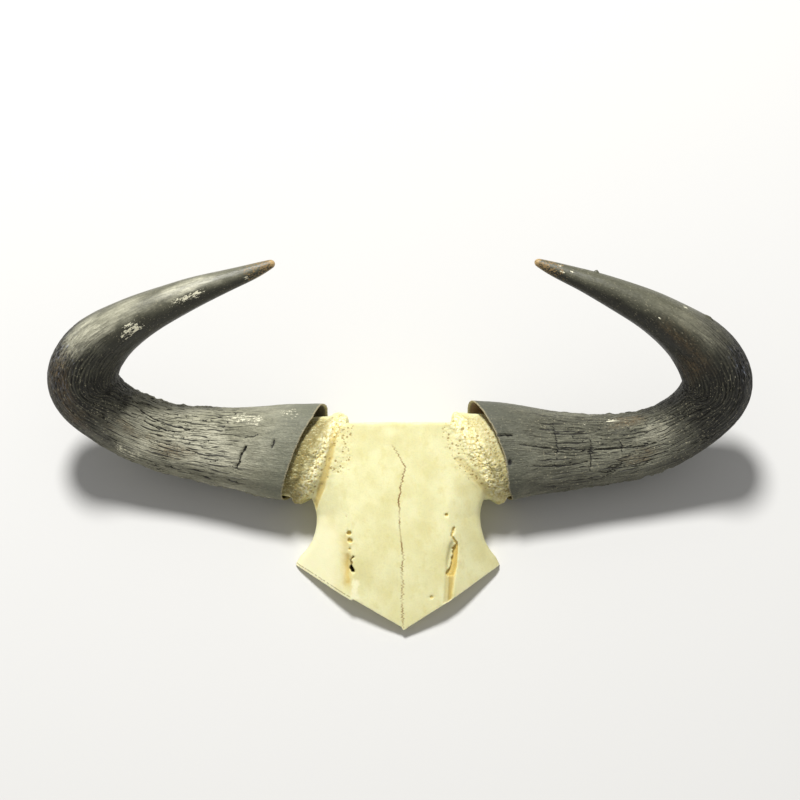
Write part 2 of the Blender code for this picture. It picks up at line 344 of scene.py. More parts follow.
class Bench:
    """Lays out the nodes of one material."""

    def __init__(self, name: str) -> None:
        """Start a material with its plain shader.

        Args:
            name: Name of the material.
        """
        self.material = bpy.data.materials.new(name)
        self.material.use_nodes = True
        self.tree = self.material.node_tree

    def feed(self, sockets: bpy.types.bpy_prop_collection, values: dict) -> None:
        """Link wires to sockets, or set plain values on them.

        Args:
            sockets: The inputs of a node.
            values: Numbers, colours or wires, by the name or place of the socket.
        """
        for name, value in values.items():
            if isinstance(value, Wire):
                self.tree.links.new(value.socket, sockets[name])
            else:
                sockets[name].default_value = value

    def node(self, kind: str, settings: dict, values: dict, output: int | str = 0) -> Wire:
        """Add one node.

        Args:
            kind: Blender's name of the node type.
            settings: Properties of the node.
            values: Numbers, colours or wires for its sockets, by name or place.
            output: Which of its outputs to read.

        Returns:
            The output as a wire.
        """
        made = self.tree.nodes.new(kind)
        for name, value in settings.items():
            setattr(made, name, value)
        self.feed(made.inputs, values)
        return Wire(self, made.outputs[output])

    def mark(self, name: str) -> Wire:
        """A number stored on the mesh."""
        return self.node("ShaderNodeAttribute", {"attribute_name": name}, {}, "Fac")

    def place(self, name: str) -> Wire:
        """A place stored on the mesh."""
        return self.node("ShaderNodeAttribute", {"attribute_name": name}, {}, "Vector")

    def stretched(self, place: Wire, size: tuple[float, ...]) -> Wire:
        """A place divided by the size of a pattern along each axis."""
        values = {0: place, 1: tuple(1 / part for part in size)}
        return self.node("ShaderNodeVectorMath", {"operation": "MULTIPLY"}, values)

    def noise(self, place: Wire, size: tuple[float, ...], detail: float, rough: float) -> Wire:
        """Noise about 0.5, with bumps of one size along each axis."""
        values = {"Scale": 1.0, "Detail": detail, "Roughness": rough}
        return self.node("ShaderNodeTexNoise", {}, {0: self.stretched(place, size), **values})

    def seats(self, place: Wire, size: float) -> Wire:
        """Distance to the nearest seat of cells of one size, in cells."""
        values = {"Vector": self.stretched(place, (size,) * 3), "Scale": 1.0}
        return self.node("ShaderNodeTexVoronoi", {"feature": "F1"}, values, "Distance")

    def turn(self, place: Wire) -> Wire:
        """Angle of a place round its third axis, in radians."""
        x, y = (self.node("ShaderNodeSeparateXYZ", {}, {0: place}, axis) for axis in "XY")
        return self.node("ShaderNodeMath", {"operation": "ARCTAN2"}, {0: y, 1: x})

    def mix(self, share: Amount, start: "Colour | Wire", end: "Colour | Wire") -> Wire:
        """Colour between two others."""
        return self.node("ShaderNodeMix", {"data_type": "RGBA"}, {0: share, 6: start, 7: end}, 2)

    def coats(self, colour: Wire, *layers: "tuple[Amount, Colour]") -> Wire:
        """Lay colours over one another.

        Args:
            colour: The colour underneath.
            layers: The share and the colour of each coat, in order.

        Returns:
            The colour seen.
        """
        for share, over in layers:
            colour = self.mix(share, colour, over)
        return colour

    def shade(self, colour: Wire, amount: Wire) -> Wire:
        """Colour made darker or lighter, with amount 1 for no change."""
        grey = self.node("ShaderNodeCombineXYZ", {}, dict.fromkeys(range(3), amount))
        return self.node("ShaderNodeVectorMath", {"operation": "MULTIPLY"}, {0: colour, 1: grey})

    def bump(self, height: Wire, depth: float, strength: float) -> Wire:
        """Bump for the shader's normal, with its full depth in millimetres."""
        values = {"Strength": strength, "Distance": depth * MM, "Height": height}
        return self.node("ShaderNodeBump", {}, values)

    def surface(self, values: dict) -> bpy.types.Material:
        """The finished material, with its shader's sockets fed or set by name."""
        self.feed(self.tree.nodes["Principled BSDF"].inputs, values)
        return self.material


@dataclass(frozen=True)
class Grid:
    """Distances along a horn, angles round it and the horn's mean radius there."""

    along: Rows
    around: Rows
    girth: Rows

    def unrolled(self) -> Rows:
        """Places that follow the horn, so that patterns in them run lengthwise unbroken."""
        sides = (self.girth * np.cos(self.around), self.girth * np.sin(self.around))
        return np.stack((*sides, self.along), axis=-1)

    def across(self, middle: float) -> Rows:
        """Distance round the horn from an angle in radians, in millimetres."""
        return ((self.around - middle + math.pi) % TURN - math.pi) * self.girth


@dataclass
class HornForm:
    """A horn's sections, sampled every millimetre and smoothed.

    Each section is a row of its centre's x, y and z, and of its half-sizes in and square
    to the forehead.
    """

    sections: tuple[tuple[float, ...], ...]
    softness: float = 8.0
    squareness: float = 2.7
    square_to: float = 150.0
    round_from: float = 270.0

    def __post_init__(self) -> None:
        """Sample the sections and the frame that each lies in."""
        rows = np.array(self.sections)
        steps = np.linalg.norm(np.diff(rows[:, :3], axis=0), axis=1)
        keys = np.concatenate(([0.0], np.cumsum(steps)))
        self.length = float(keys[-1])
        self.keys = np.linspace(0.0, self.length, int(self.length) + 1)
        self.rows = soften(hermite(rows, keys, self.keys), self.softness)
        tangent = unit(np.gradient(self.rows[:, :3], axis=0))
        side = unit(np.cross(UP, tangent))
        self.frames = np.concatenate((side, np.cross(tangent, side)), axis=1)

    def _read(self, table: Rows, along: Rows) -> Rows:
        """Columns of a table at distances along the horn."""
        return np.stack([np.interp(along, self.keys, column) for column in table.T], axis=-1)

    def grid(self, along: Rows, around: Rows) -> Grid:
        """Distances and angles, with the horn's mean radius."""
        return Grid(along, around, self._read(self.rows[:, 3:], along).mean(axis=-1))

    def skin(self, along: Rows, around: Rows, shrink: Amount = 0.0, scale: Amount = 1.0) -> Rows:
        """Places on the horn's surface.

        Args:
            along: Distance along the centre line, in millimetres.
            around: Angle round it, of the same shape.
            shrink: How far inside the surface, in millimetres.
            scale: Size of the section, for a rounded end.

        Returns:
            Places in the forehead's frame, in millimetres.
        """
        rows, frames = self._read(self.rows, along), self._read(self.frames, along)
        power = 2 + (self.squareness - 2) * rise(along, self.round_from, self.square_to)
        total = np.abs(np.cos(around)) ** power + np.abs(np.sin(around)) ** power
        full = scale * np.where(np.sin(around) > 0, total ** (-1 / power), 1.0)
        across = ((rows[..., 3] - shrink) * full * np.cos(around))[..., None]
        deep = ((rows[..., 4] - shrink) * full * np.sin(around))[..., None]
        return rows[..., :3] + frames[..., :3] * across + frames[..., 3:] * deep


@dataclass(frozen=True)
class Mouth:
    """The slanting mouth of a sheath: a place on it, its angles in degrees, and its bow."""

    side: Side
    place: tuple[float, float, float]
    turn: float
    front: float
    bow: float
    bow_at: float
    back: float = 16.0
    bow_reach: float = 42.0

    def past(self, places: Rows) -> Rows:
        """How far places lie past the mouth.

        Args:
            places: Places in the forehead's frame.

        Returns:
            Distance towards the tip, in millimetres.
        """
        offset, sign = places - np.array(self.place), self.side.value
        turn, front, back = (math.radians(angle) for angle in (self.turn, self.front, self.back))
        way = sign * np.array([math.cos(turn), math.sin(turn)])
        down = sign * np.array([way[1], -way[0]])
        lean = np.where(offset[..., 2] > 0, math.tan(front), math.tan(back))
        part = (offset[..., :2] @ down - self.bow_at) / self.bow_reach
        bowed = self.bow * np.maximum(1 - part * part, 0.0) * rise(offset[..., 2], 2.0, 22.0)
        return offset[..., :2] @ way - lean * offset[..., 2] - bowed


@dataclass(frozen=True)
class Split:
    """One named crack: its path as distance along and degrees round the horn."""

    path: Path
    width: float
    depth: float

    def gap(self, form: HornForm, grid: Grid, wobble: Rows) -> Rows:
        """Distance to the crack.

        Args:
            form: The horn's form.
            grid: The places, as distances and angles.
            wobble: Distance by which the crack strays at each place.

        Returns:
            The distance from each place, in millimetres.
        """
        middle = math.radians(sum(angle for _, angle in self.path) / len(self.path))
        places = np.stack((grid.along, grid.across(middle)), axis=-1) + wobble[..., None]
        path = []
        for along, angle in self.path:
            girth = form.grid(np.array(along), np.zeros(())).girth
            path.append((along, (math.radians(angle) - middle) * float(girth)))
        return path_gap(places.reshape(-1, 2), path).reshape(wobble.shape)


@dataclass(frozen=True)
class Patch:
    """One named patch: its middle along and round the horn, its half-sizes and its strength."""

    along: float
    around: float
    reach: float
    breadth: float
    amount: float = 1.0


def patches(**tables: tuple[tuple[float, ...], ...]) -> dict[str, tuple[Patch, ...]]:
    """Patches from rows of their numbers, by what they are."""
    return {name: tuple(Patch(*row) for row in rows) for name, rows in tables.items()}


@dataclass(frozen=True)
class HornFinish:
    """Colours and shine of weathered horn, with painted shade and painted highlights, and how
    wrinkled it is.
    """

    body: Colour
    dark: Colour
    # pale: lighter grey, partly weathered horn and partly painted highlight
    pale: Colour
    # deep: dark horn of the bend, partly its own tone and partly painted shade of the inner bend
    deep: Colour
    arm: Colour
    calm: Colour
    # under: share of painted shade on the arms' inner, lower sides, over their darker own tone
    under: float
    brown: Colour = tone(112, 92, 62)
    scuff: Colour = tone(236, 231, 202)
    dust: Colour = tone(186, 178, 148)
    tip: Colour = tone(140, 116, 78)
    tip_end: Colour = tone(190, 160, 110)
    crack: Colour = tone(20, 18, 12)
    soot: Colour = tone(46, 46, 48)
    # painted glints: blue-grey specks standing in for light reflected off the flaky bark
    painted_glint: Colour = tone(146, 152, 168)
    lining: Colour = tone(104, 80, 54)
    rim: Colour = tone(176, 165, 132)
    ridged: float = 0.75
    dashed: float = 4.5
    wrinkles: int = 58
    hairlines: int = 93
    specular: float = 0.38
    dull: float = 0.54
    satin: float = 0.4
    grain_depth: float = 0.7

    def dress(self, name: str) -> bpy.types.Material:
        """Build the material.

        Args:
            name: Name of the material.

        Returns:
            The material, which reads the marks stored on a sheath's mesh.
        """
        bench = Bench(name)
        grain = bench.place("grain")
        aged, bark, cracked, deep, end, pale, polish, scuff = map(
            bench.mark, ("aged", "bark", "cracked", "deep", "tip", "pale", "polish", "scuff")
        )
        blotch = bench.noise(grain, (18, 18, 46), 4.0, 0.6)
        streak = bench.noise(grain, (2.4, 2.4, 34), 4.0, 0.65).rise(0.3, 0.7)
        fibre = bench.noise(grain, (0.9, 0.9, 11), 3.0, 0.6).rise(0.3, 0.7)
        speck = bench.noise(grain, (1.5, 1.5, 2.2), 3.0, 0.75)
        flake = bench.noise(grain, (1.3, 1.3, 2.0), 2.0, 0.65)
        stroke = bench.noise(grain, (1.3, 1.3, 9.0), 3.0, 0.7)
        bend, stray, breaks = (
            bench.noise(grain, size, 2.0, 0.5) - 0.5
            for size in ((9, 9, 30), (7, 7, 22), (3.2, 3.2, 16))
        )

        turn = bench.turn(grain)
        gaps = (1 - 0.6 * deep) * (self.dashed * breaks)
        wrinkles = (turn + 0.24 * bend).wave(self.wrinkles)
        coarse = (wrinkles + gaps).rise(0.72, 1.25)
        folds = (wrinkles + 4.0 * breaks + 2.0 * stray).rise(-0.2, -1.1)
        fine = ((turn + 0.2 * stray).wave(self.hairlines) - gaps).rise(0.95, 1.5)
        clear = 1 - pale * bench.mark("past_bend")
        lines = coarse.at_least(0.7 * fine) * cracked.at_least(deep) * clear
        ribs = deep * folds.at_least(0.8 * stroke.rise(0.54, 0.64)) * clear

        brown = 0.75 * bench.mark("brown") * blotch.rise(0.64, 0.4) * speck.rise(0.35, 0.6)
        plain = bench.mix(blotch.rise(0.36, 0.66), self.dark, self.body)
        # Partly painted light: the deep and under coats darken the bend and the arms' inner sides
        # as painted shade over their own darker tone, and the pale coat is partly weathered grey
        # and partly painted highlight.
        colour = bench.coats(
            bench.mix(aged, self.calm, plain),
            (0.85 * polish, self.arm), (deep, self.deep),
            (self.under * bench.mark("under"), self.deep), (self.ridged * ribs, self.arm),
            (pale * (0.4 + 0.6 * streak), self.pale), (brown, self.brown),
        )
        rich = (0.4 + 0.6 * aged) * (1 - 0.5 * polish)
        grey = 1 + rich * (0.3 * streak + 0.42 * fibre - 0.36)
        worn = 0.68 * scuff + 3.0 * (stroke - 0.5) + 1.8 * (flake - 0.5)
        flaked = (0.6 * end + 3.0 * (flake - 0.5)).rise(0.38, 0.55)
        colour = bench.coats(
            bench.shade(colour, grey + 1.1 * (speck - 0.5)),
            (flake.rise(0.6, 0.7) * (0.3 + 0.4 * cracked), self.dust),
            (worn.rise(0.58, 0.7) * scuff.rise(0.0, 0.15), self.scuff),
            (flaked * end.rise(0.0, 0.3), self.tip),
            (end.rise(0.97, 1.0) * flake.rise(0.35, 0.5), self.tip_end),
            (0.5 * bark * speck.rise(0.6, 0.4), self.soot),
            # painted glints on the flaky bark
            (0.75 * bark * stroke.rise(0.58, 0.66), self.painted_glint),
            (bench.mark("lining"), self.lining),
            (bench.mark("rim") * speck.rise(0.35, 0.5), self.rim),
            (0.86 * lines, self.crack), (bench.mark("crack").rise(0.3, 0.9), self.crack),
        )
        shine = self.dull - (self.dull - self.satin) * polish + 0.35 * (speck - 0.5)
        grooved = (0.5 * fibre + 0.5 * streak) * (0.35 + 0.65 * aged)
        height = (grooved + 1.1 * speck) * (1 - 0.8 * polish) + 0.35 * ribs - 1.4 * lines
        return bench.surface({
            "Base Color": colour,
            "Roughness": (shine - 0.22 * bark).at_most(0.95),
            "Specular IOR Level": self.specular,
            "Normal": bench.bump(height, self.grain_depth, 1.0),
        })


@dataclass(frozen=True)
class BoneFinish:
    """Colours and shine of sun-whitened bone, with painted shade in its holes and hollows, a
    painted shadow beside the horn sheaths and a painted lit wing.
    """

    cream: Colour = tone(231, 225, 169)
    pale: Colour = tone(242, 238, 188)
    chalk: Colour = tone(255, 249, 206)
    green: Colour = tone(220, 211, 146)
    gold: Colour = tone(212, 186, 104)
    amber: Colour = tone(176, 154, 96)
    olive: Colour = tone(140, 128, 78)
    brown: Colour = tone(142, 104, 54)
    # painted shade inside the deep holes
    painted_hole_shade: Colour = tone(58, 50, 36)
    honey: Colour = tone(246, 238, 178)
    sawn: Colour = tone(222, 208, 156)
    roughness: float = 0.62
    specular: float = 0.3
    glow: float = 0.25
    glow_reach: tuple[float, float, float] = (1.0, 0.75, 0.4)
    glow_depth: float = 2.0 * MM
    grain_depth: float = 0.4
    grain_strength: float = 0.65

    def dress(self, name: str) -> bpy.types.Material:
        """Build the material.

        Args:
            name: Name of the material.

        Returns:
            The material, which reads the marks stored on the bone's mesh.
        """
        bench = Bench(name)
        place = bench.place("place")
        edge, porous, ridge, stain_and_rim_shadow = map(bench.mark, ("edge_gap", "porous", "ridge", "stain_and_rim_shadow"))
        cloud = bench.noise(place, (30, 36, 30), 3.0, 0.55)
        mottle = bench.noise(place, (9, 11, 9), 4.0, 0.6)
        speck = bench.noise(place, (1.6, 1.6, 1.6), 3.0, 0.6)
        streak = bench.noise(place, (2.6, 16, 6), 3.0, 0.6)
        spike = bench.noise(place, (3.4, 1.7, 2.2), 3.0, 0.7).rise(0.55, 0.62)
        turns = bench.noise(place, (60, 1.5, 60), 1.0, 0.6) - 0.5
        swing = bench.noise(place, (60, 7.0, 60), 1.0, 0.5) - 0.5
        crumb = bench.seats(place, 2.3).rise(0.66, 0.3)
        small = bench.seats(place, 2.4).rise(0.3, 0.16)
        pit = bench.seats(place, 4.2).rise(0.3, 0.17)
        pit = pit.at_least(0.8 * small * mottle.rise(0.42, 0.54))
        pit = pit * bench.mark("pitted") * mottle.rise(0.34, 0.46)
        gap = bench.mark("suture_gap") + bench.mark("teeth") * turns + 3.0 * swing
        some = (0.6 + 3.0 * (mottle - 0.5)).at_most(0.95).at_least(0.1)
        line = abs(gap).rise(0.95, 0.3) * bench.mark("suture") * some
        layer = abs(edge + 0.5 * (mottle - 0.5) - 2.0).rise(0.75, 0.25) * bench.mark("layered")

        colour = bench.coats(
            bench.mix(cloud.rise(0.35, 0.65), self.cream, self.pale),
            (0.55 * mottle.rise(0.48, 0.72), self.green),
            (0.3 * streak.rise(0.58, 0.8), self.green), (bench.mark("warm"), self.green),
            # gold in hollows: partly the bone's own staining, partly painted warm shade in the
            # recesses
            (bench.mark("hollow"), self.gold), (0.5 * speck.rise(0.58, 0.7), self.green),
        )
        colour = bench.coats(
            bench.shade(colour, 0.84 + 0.22 * speck + 0.1 * mottle),
            # Partly painted shade: crumb valleys mixed to gold and pits mixed to amber are partly
            # the bone's own staining and partly painted warm shade.
            (0.3 * porous, self.honey), (0.28 * porous * (1 - crumb), self.gold),
            # olive strip beside each sheath: partly staining and partly painted shadow of the
            # sheath's rim
            ((0.45 * porous + 0.4 * ridge) * crumb, self.chalk), (stain_and_rim_shadow, self.olive),
            (0.55 * stain_and_rim_shadow * spike, self.pale), (0.9 * pit, self.amber), (line, self.brown),
            # painted light: the right wing, which faces the lamp, is painted chalk-white
            (0.6 * edge.rise(1.5, 0.6), self.chalk), (0.8 * bench.mark("painted_lit_wing"), self.chalk),
            (0.6 * layer * speck.rise(0.35, 0.5), self.olive),
            (bench.mark("chalky") * (0.4 + speck), self.chalk),
            (bench.mark("sawn") * speck.rise(0.35, 0.6), self.sawn),
            # painted shade inside the holes
            (bench.mark("painted_hole_shade"), self.painted_hole_shade),
        )
        fine = 0.5 * speck + 0.5 * mottle + 0.3 * streak + 0.3 * porous * crumb
        height = fine - 0.5 * line - 1.0 * pit
        return bench.surface({
            "Base Color": colour,
            "Roughness": self.roughness + 0.2 * (speck - 0.5),
            "Specular IOR Level": self.specular,
            "Subsurface Weight": self.glow,
            "Subsurface Radius": self.glow_reach,
            "Subsurface Scale": self.glow_depth,
            "Normal": bench.bump(height, self.grain_depth, self.grain_strength),
        })


def read_rows(items: bpy.types.bpy_prop_collection, name: str) -> Rows:
    """Rows of three numbers read from the parts of a mesh.

    Args:
        items: The parts.
        name: Name of what is read.

    Returns:
        One row for each part.
    """
    flat = np.empty(len(items) * 3, np.float32)
    items.foreach_get(name, flat)
    return flat.reshape(-1, 3)


def move_corners(mesh: bpy.types.Mesh, places: Rows) -> None:
    """Put the corners of a mesh at places in the room."""
    mesh.vertices.foreach_set("co", places.astype(np.float32).ravel())
    mesh.update()


def keep_inside(mesh: bpy.types.Mesh, box: tuple[Vector, Vector]) -> None:
    """Draw in the few corners of a mesh that reach past a box."""
    low, high = (np.array(corner, np.float32) for corner in box)
    move_corners(mesh, np.clip(read_rows(mesh.vertices, "co"), low, high))


def add_to_scene(name: str, data: bpy.types.ID) -> bpy.types.Object:
    """Add an object to the scene.

    Args:
        name: Name of the object.
        data: Its mesh, lamp or camera.

    Returns:
        The object.
    """
    item = bpy.data.objects.new(name, data)
    bpy.context.scene.collection.objects.link(item)
    return item


def make_piece(name: str, mesh: bpy.types.Mesh, finish: bpy.types.Material) -> bpy.types.Object:
    """Add a smooth-shaded object with one finish to the scene.

    Args:
        name: Name of the piece.
        mesh: Its mesh.
        finish: Its material.

    Returns:
        The object.
    """
    mesh.materials.clear()
    mesh.materials.append(finish)
    mesh.shade_smooth()
    return add_to_scene(name, mesh)


def store_marks(mesh: bpy.types.Mesh, marks: Marks) -> None:
    """Store numbers or places on the corners of a mesh.

    Args:
        mesh: The mesh.
        marks: What is stored, by name.
    """
    for name, values in marks.items():
        kind, key = ("FLOAT_VECTOR", "vector") if values.ndim > 1 else ("FLOAT", "value")
        layer = mesh.attributes.new(name, kind, "POINT")
        layer.data.foreach_set(key, values.astype(np.float32).ravel())


@dataclass
class HornSheath:
    """One horn sheath: a curved, cracked horn with a socket for the bone core."""

    name: str
    side: Side
    sections: tuple[tuple[float, ...], ...]
    mouth: Mouth
    finish: HornFinish
    splits: tuple[Split, ...]
    patches: dict[str, tuple[Patch, ...]]
    seed: int
    cracked_from: float = 84.0
    cracked_to: float = 282.0
    # where the dark bend starts and ends; its darkness is partly painted shade
    bend: tuple[float, float] = (170.0, 235.0)
    bend_end: tuple[float, float] = (280.0, 335.0)
    past_bend: tuple[float, float] = (235.0, 275.0)
    # where the painted shade on the arms' inner sides begins and is full
    under: tuple[float, float] = (255.0, 295.0)
    tip_worn: float = 38.0
    seam_cells: tuple[float, float, float] = (5.2, 5.2, 27.0)
    seam_depth: float = 0.7
    hair_size: tuple[float, float, float] = (3.4, 3.4, 70.0)
    pit_depth: float = 1.3
    scale_size: float = 4.2
    swell: tuple[float, float] = (0.5, 30.0)
    flute: tuple[float, float, float] = (6.5, 6.5, 90.0)
    fibre: tuple[float, float, float] = (2.6, 2.6, 40.0)
    columns: int = 268
    outer_rows: int = 330
    inner_rows: int = 22
    rim_wall: float = 1.2
    rim_turn: Path = ((0.35, -0.25), (0.75, -0.1), (1.0, 0.5))
    socket_wall: float = 3.4
    socket_length: float = 117.0
    socket_end: float = 20.0
    blunt: float = 3.0
    blunt_rows: tuple[float, ...] = (0.3, 0.55, 0.75, 0.9, 0.98)
    mouth_reach: float = 110.0
    fade: float = 0.3

    def __post_init__(self) -> None:
        """Prepare the horn's form, its patterns and its angles."""
        self.form, self.grain = HornForm(self.sections), Grain(self.seed)
        self.angles = np.arange(self.columns) * TURN / self.columns

    def mouth_line(self) -> Rows:
        """Where the slanting mouth lies.

        Returns:
            Distance along the horn at which each angle meets the mouth.
        """
        along = np.arange(0.0, self.mouth_reach, 0.5)
        grid_s, grid_a = np.meshgrid(along, self.angles, indexing="ij")
        first = np.argmax(self.mouth.past(self.form.skin(grid_s, grid_a)) > 0, axis=0)
        ring = np.stack((np.cos(self.angles), np.sin(self.angles), 0 * self.angles), axis=-1)
        ragged = self.grain.layered(ring * 33.0, 9.0, 4) * 0.9
        return along[first] + np.abs(ragged)

    def cover(self, name: str, grid: Grid, ragged: Rows) -> Rows:
        """Soft-edged patches.

        Args:
            name: Which of the sheath's patches.
            grid: The places, as distances and angles.
            ragged: Noise that breaks up the patches' edges.

        Returns:
            How strongly each place is covered, from 0 to 1.
        """
        total = np.zeros(grid.along.shape)
        for mark in self.patches.get(name, ()):
            side = grid.across(math.radians(mark.around)) / mark.breadth
            gap = np.hypot((grid.along - mark.along) / mark.reach, side)
            total = np.maximum(total, mark.amount * rise(gap + 0.5 * ragged, 1.2, self.fade))
        return np.clip(total, 0.0, 1.0)

    def even_gap(self, values: Rows, places: Rows) -> Rows:
        """Distance to the lines on which values over a grid are zero.

        Args:
            values: The values.
            places: The places of the grid.

        Returns:
            The distance from each place, in millimetres.
        """
        steps = np.linalg.norm(np.gradient(places, axis=0), axis=-1)
        ahead = np.roll(places, -1, axis=1) - np.roll(places, 1, axis=1)
        turns = np.linalg.norm(ahead, axis=-1) / 2
        slope = np.gradient(values, axis=0) / np.maximum(steps, 0.05)
        slope_round = (np.roll(values, -1, axis=1) - np.roll(values, 1, axis=1)) / 2
        slope_round = slope_round / np.maximum(turns, 0.05)
        return np.abs(values) / np.maximum(np.hypot(slope, slope_round), 1e-3)

    def cracks(self, grid: Grid, places: Rows, cracked: Rows, ragged: Rows) -> tuple[Rows, Rows]:
        """Seams between fibres, fine hair cracks, the named splits and the pits.

        Args:
            grid: Distances along the horn and angles round it.
            places: The smooth surface.
            cracked: How cracked the horn is at each place.
            ragged: Noise that breaks up the edges of patches.

        Returns:
            How dark and how deep the cracks are at each place.
        """
        grain, lengthwise = self.grain, grid.unrolled()
        wander = grain.smooth(lengthwise + 700, (11.0, 11.0, 11.0))[..., None]
        warped = lengthwise + wander * np.array([1.6, 1.6, 4.0])
        first, second, _ = grain.cells(warped, self.seam_cells)
        some = rise(grain.smooth(lengthwise + 900, (8.0, 8.0, 20.0)), -0.35, 0.15)
        crack = rise(self.even_gap(second - first, places), 0.8, 0.25) * cracked * some
        hairs = self.even_gap(grain.smooth(warped + 1300, self.hair_size), places)
        kept = rise(grain.smooth(lengthwise + 1700, (7.0, 7.0, 50.0)), -0.15, 0.15)
        crack = np.maximum(crack, 0.85 * rise(hairs, 0.6, 0.2) * kept * cracked)
        depth = self.seam_depth * crack
        wobble = grain.layered(lengthwise, 4.0, 3) * 1.3
        for split in self.splits:
            cut = rise(split.gap(self.form, grid, wobble), split.width + 0.5, split.width * 0.35)
            crack, depth = np.maximum(crack, cut), np.maximum(depth, split.depth * cut)
        pit = self.cover("pit", grid, 0.6 * ragged)
        return np.maximum(crack, pit), np.maximum(depth, self.pit_depth * pit)

    def weather(self, grid: Grid, places: Rows, from_rim: Rows) -> tuple[Rows, Marks]:
        """Cracks, fibres and wear over the outer skin, with the masks for its painted shade and
        painted highlights.

        Args:
            grid: Distances along the horn and angles round it.
            places: The smooth surface.
            from_rim: Distance from the mouth.

        Returns:
            How far each place moves out, in millimetres, and the marks for the finish.
        """
        along, grain, lengthwise = grid.along, self.grain, grid.unrolled()
        ragged = grain.layered(lengthwise + 400.0, (9.0, 9.0, 14.0), 4)
        cracked = rise(along + 26 * ragged, self.cracked_from - 14, self.cracked_from + 26)
        cracked = cracked * rise(along + 30 * ragged, self.cracked_to + 22, self.cracked_to - 22)
        polish = rise(along + 18 * ragged, self.cracked_to + 8, self.cracked_to + 40)
        crack, depth = self.cracks(grid, places, cracked, ragged)

        out = self.swell[0] * grain.smooth(lengthwise, self.swell[1])
        out += (0.32 * (1 - polish) + 0.1) * grain.smooth(lengthwise + 90, self.flute)
        out += 0.2 * (0.35 + cracked) * grain.smooth(lengthwise + 180, self.fibre)
        out += 0.16 * (1 - 0.8 * polish) * grain.layered(places, 3.2, 2)
        scaly = self.cover("scale", grid, ragged)
        near, after, flake = grain.cells(places, self.scale_size)
        out += scaly * (0.55 * flake - 0.4)
        depth += scaly * 0.5 * rise(after - near, 0.3, 0.05)
        crack = np.maximum(crack, 0.8 * scaly * rise(after - near, 0.2, 0.04))
        knobs = self.cover("lump", grid, 0.4 * ragged)
        out += knobs * (0.7 + 2.6 * grain.layered(places, 5.5, 3))

        length, strayed = self.form.length, along + 20 * ragged
        inward = self.side.value * np.cos(grid.around)
        marks = {
            "cracked": cracked * (1 - 0.5 * scaly),
            "aged": rise(along + 24 * ragged, self.cracked_from - 40, self.cracked_from + 10),
            "crack": crack,
            "polish": polish * (1 - scaly),
            # pale: partly weathered grey, partly painted highlight
            **{name: self.cover(name, grid, ragged) for name in ("scuff", "brown", "pale")},
            # deep: the dark bend, partly the horn's own tone and partly painted shade
            "deep": rise(strayed, *self.bend) * rise(strayed, *self.bend_end[::-1]),
            "bark": scaly,
            "past_bend": rise(along, *self.past_bend),
            # under: painted shade on the inner side of the arm, partly its own darker tone
            "under": rise(along, *self.under) * rise(inward + 0.3 * ragged, -0.3, 0.6),
            "tip": rise(along, length - self.tip_worn, length - 1),
            "rim": rise(from_rim, 1.0, 0.3),
            "lining": np.zeros(along.shape),
        }
        ends = rise(from_rim, 0.0, 5.0), rise(along, length, length - 40)
        return (out - depth) * ends[0] * ends[1], marks

    def outer_skin(self) -> tuple[Rows, Rows, Marks]:
        """Rows of the outer skin from the mouth to the tip.

        Returns:
            Places, distances along and marks, each a grid of rows and columns.
        """
        mouth, end = self.mouth_line(), self.form.length - self.blunt
        along = mouth + (end - mouth) * np.linspace(0.0, 1.0, self.outer_rows)[:, None]
        cap = np.array(self.blunt_rows)[:, None]
        along = np.concatenate((along, end + self.blunt * cap + 0 * mouth))
        scale = np.concatenate((np.ones(self.outer_rows), np.sqrt(1 - cap[:, 0] ** 2)))[:, None]
        around = np.broadcast_to(self.angles, along.shape)
        places = self.form.skin(along, around, 0.0, scale)
        across = np.roll(places, -1, axis=1) - np.roll(places, 1, axis=1)
        normal = unit(np.cross(across, np.gradient(places, axis=0)))
        offset = places - self.form.skin(along, around, 0.0, 0.0)
        normal *= np.sign(np.sum(normal * offset, axis=-1, keepdims=True))
        out, marks = self.weather(self.form.grid(along, around), places, along - mouth)
        return places + normal * out[..., None], along, marks

    def lining(self, mouth: Rows) -> tuple[Rows, Rows, Rows]:
        """Rows of the rim and the socket wall, from the mouth inwards.

        Args:
            mouth: Distance along the horn of each point of the mouth.

        Returns:
            Places, distances along, and how far each row belongs to the rim.
        """
        rings = [(mouth + step, self.rim_wall * part, 1.0, 1.0) for part, step in self.rim_turn]
        for part in np.linspace(0.0, 1.0, self.inner_rows)[1:]:
            along = mouth + 0.5 + (self.socket_length - 0.5 - mouth) * part**1.3
            wall = self.rim_wall + (self.socket_wall - self.rim_wall) * min(1.0, part * 5)
            end = np.clip((self.socket_length - along) / self.socket_end, 0, 1)
            scale = np.sqrt(np.clip(1 - (1 - end) ** 2, 0.0, 1.0))
            rings.append((along, wall, np.maximum(scale, 0.02), 0.0))
        rows = [self.form.skin(ring[0], self.angles, *ring[1:3]) for ring in rings]
        rims = [np.full(self.columns, ring[3]) for ring in rings]
        return np.array(rows), np.array([ring[0] for ring in rings]), np.array(rims)

    def build(self) -> bpy.types.Object:
        """Make the sheath as one closed skin and dress it.

        Returns:
            The finished object.
        """
        outer, along, marks = self.outer_skin()
        inner, inner_along, rims = self.lining(along[0])
        rows = np.concatenate((inner[::-1], outer))
        count, columns = rows.shape[:2]
        distance = np.concatenate((inner_along[::-1], along))
        grid = self.form.grid(distance, np.broadcast_to(self.angles, distance.shape))
        inside = {"lining": 1 - rims[::-1], "rim": rims[::-1]}
        stored = {"grain": grid.unrolled().reshape(-1, 3)}
        for name, values in marks.items():
            ring = inside.get(name, np.zeros(rims.shape))
            stored[name] = np.concatenate((ring, values)).ravel()
        stored = {name: np.concatenate((row, row[[0, -1]])) for name, row in stored.items()}

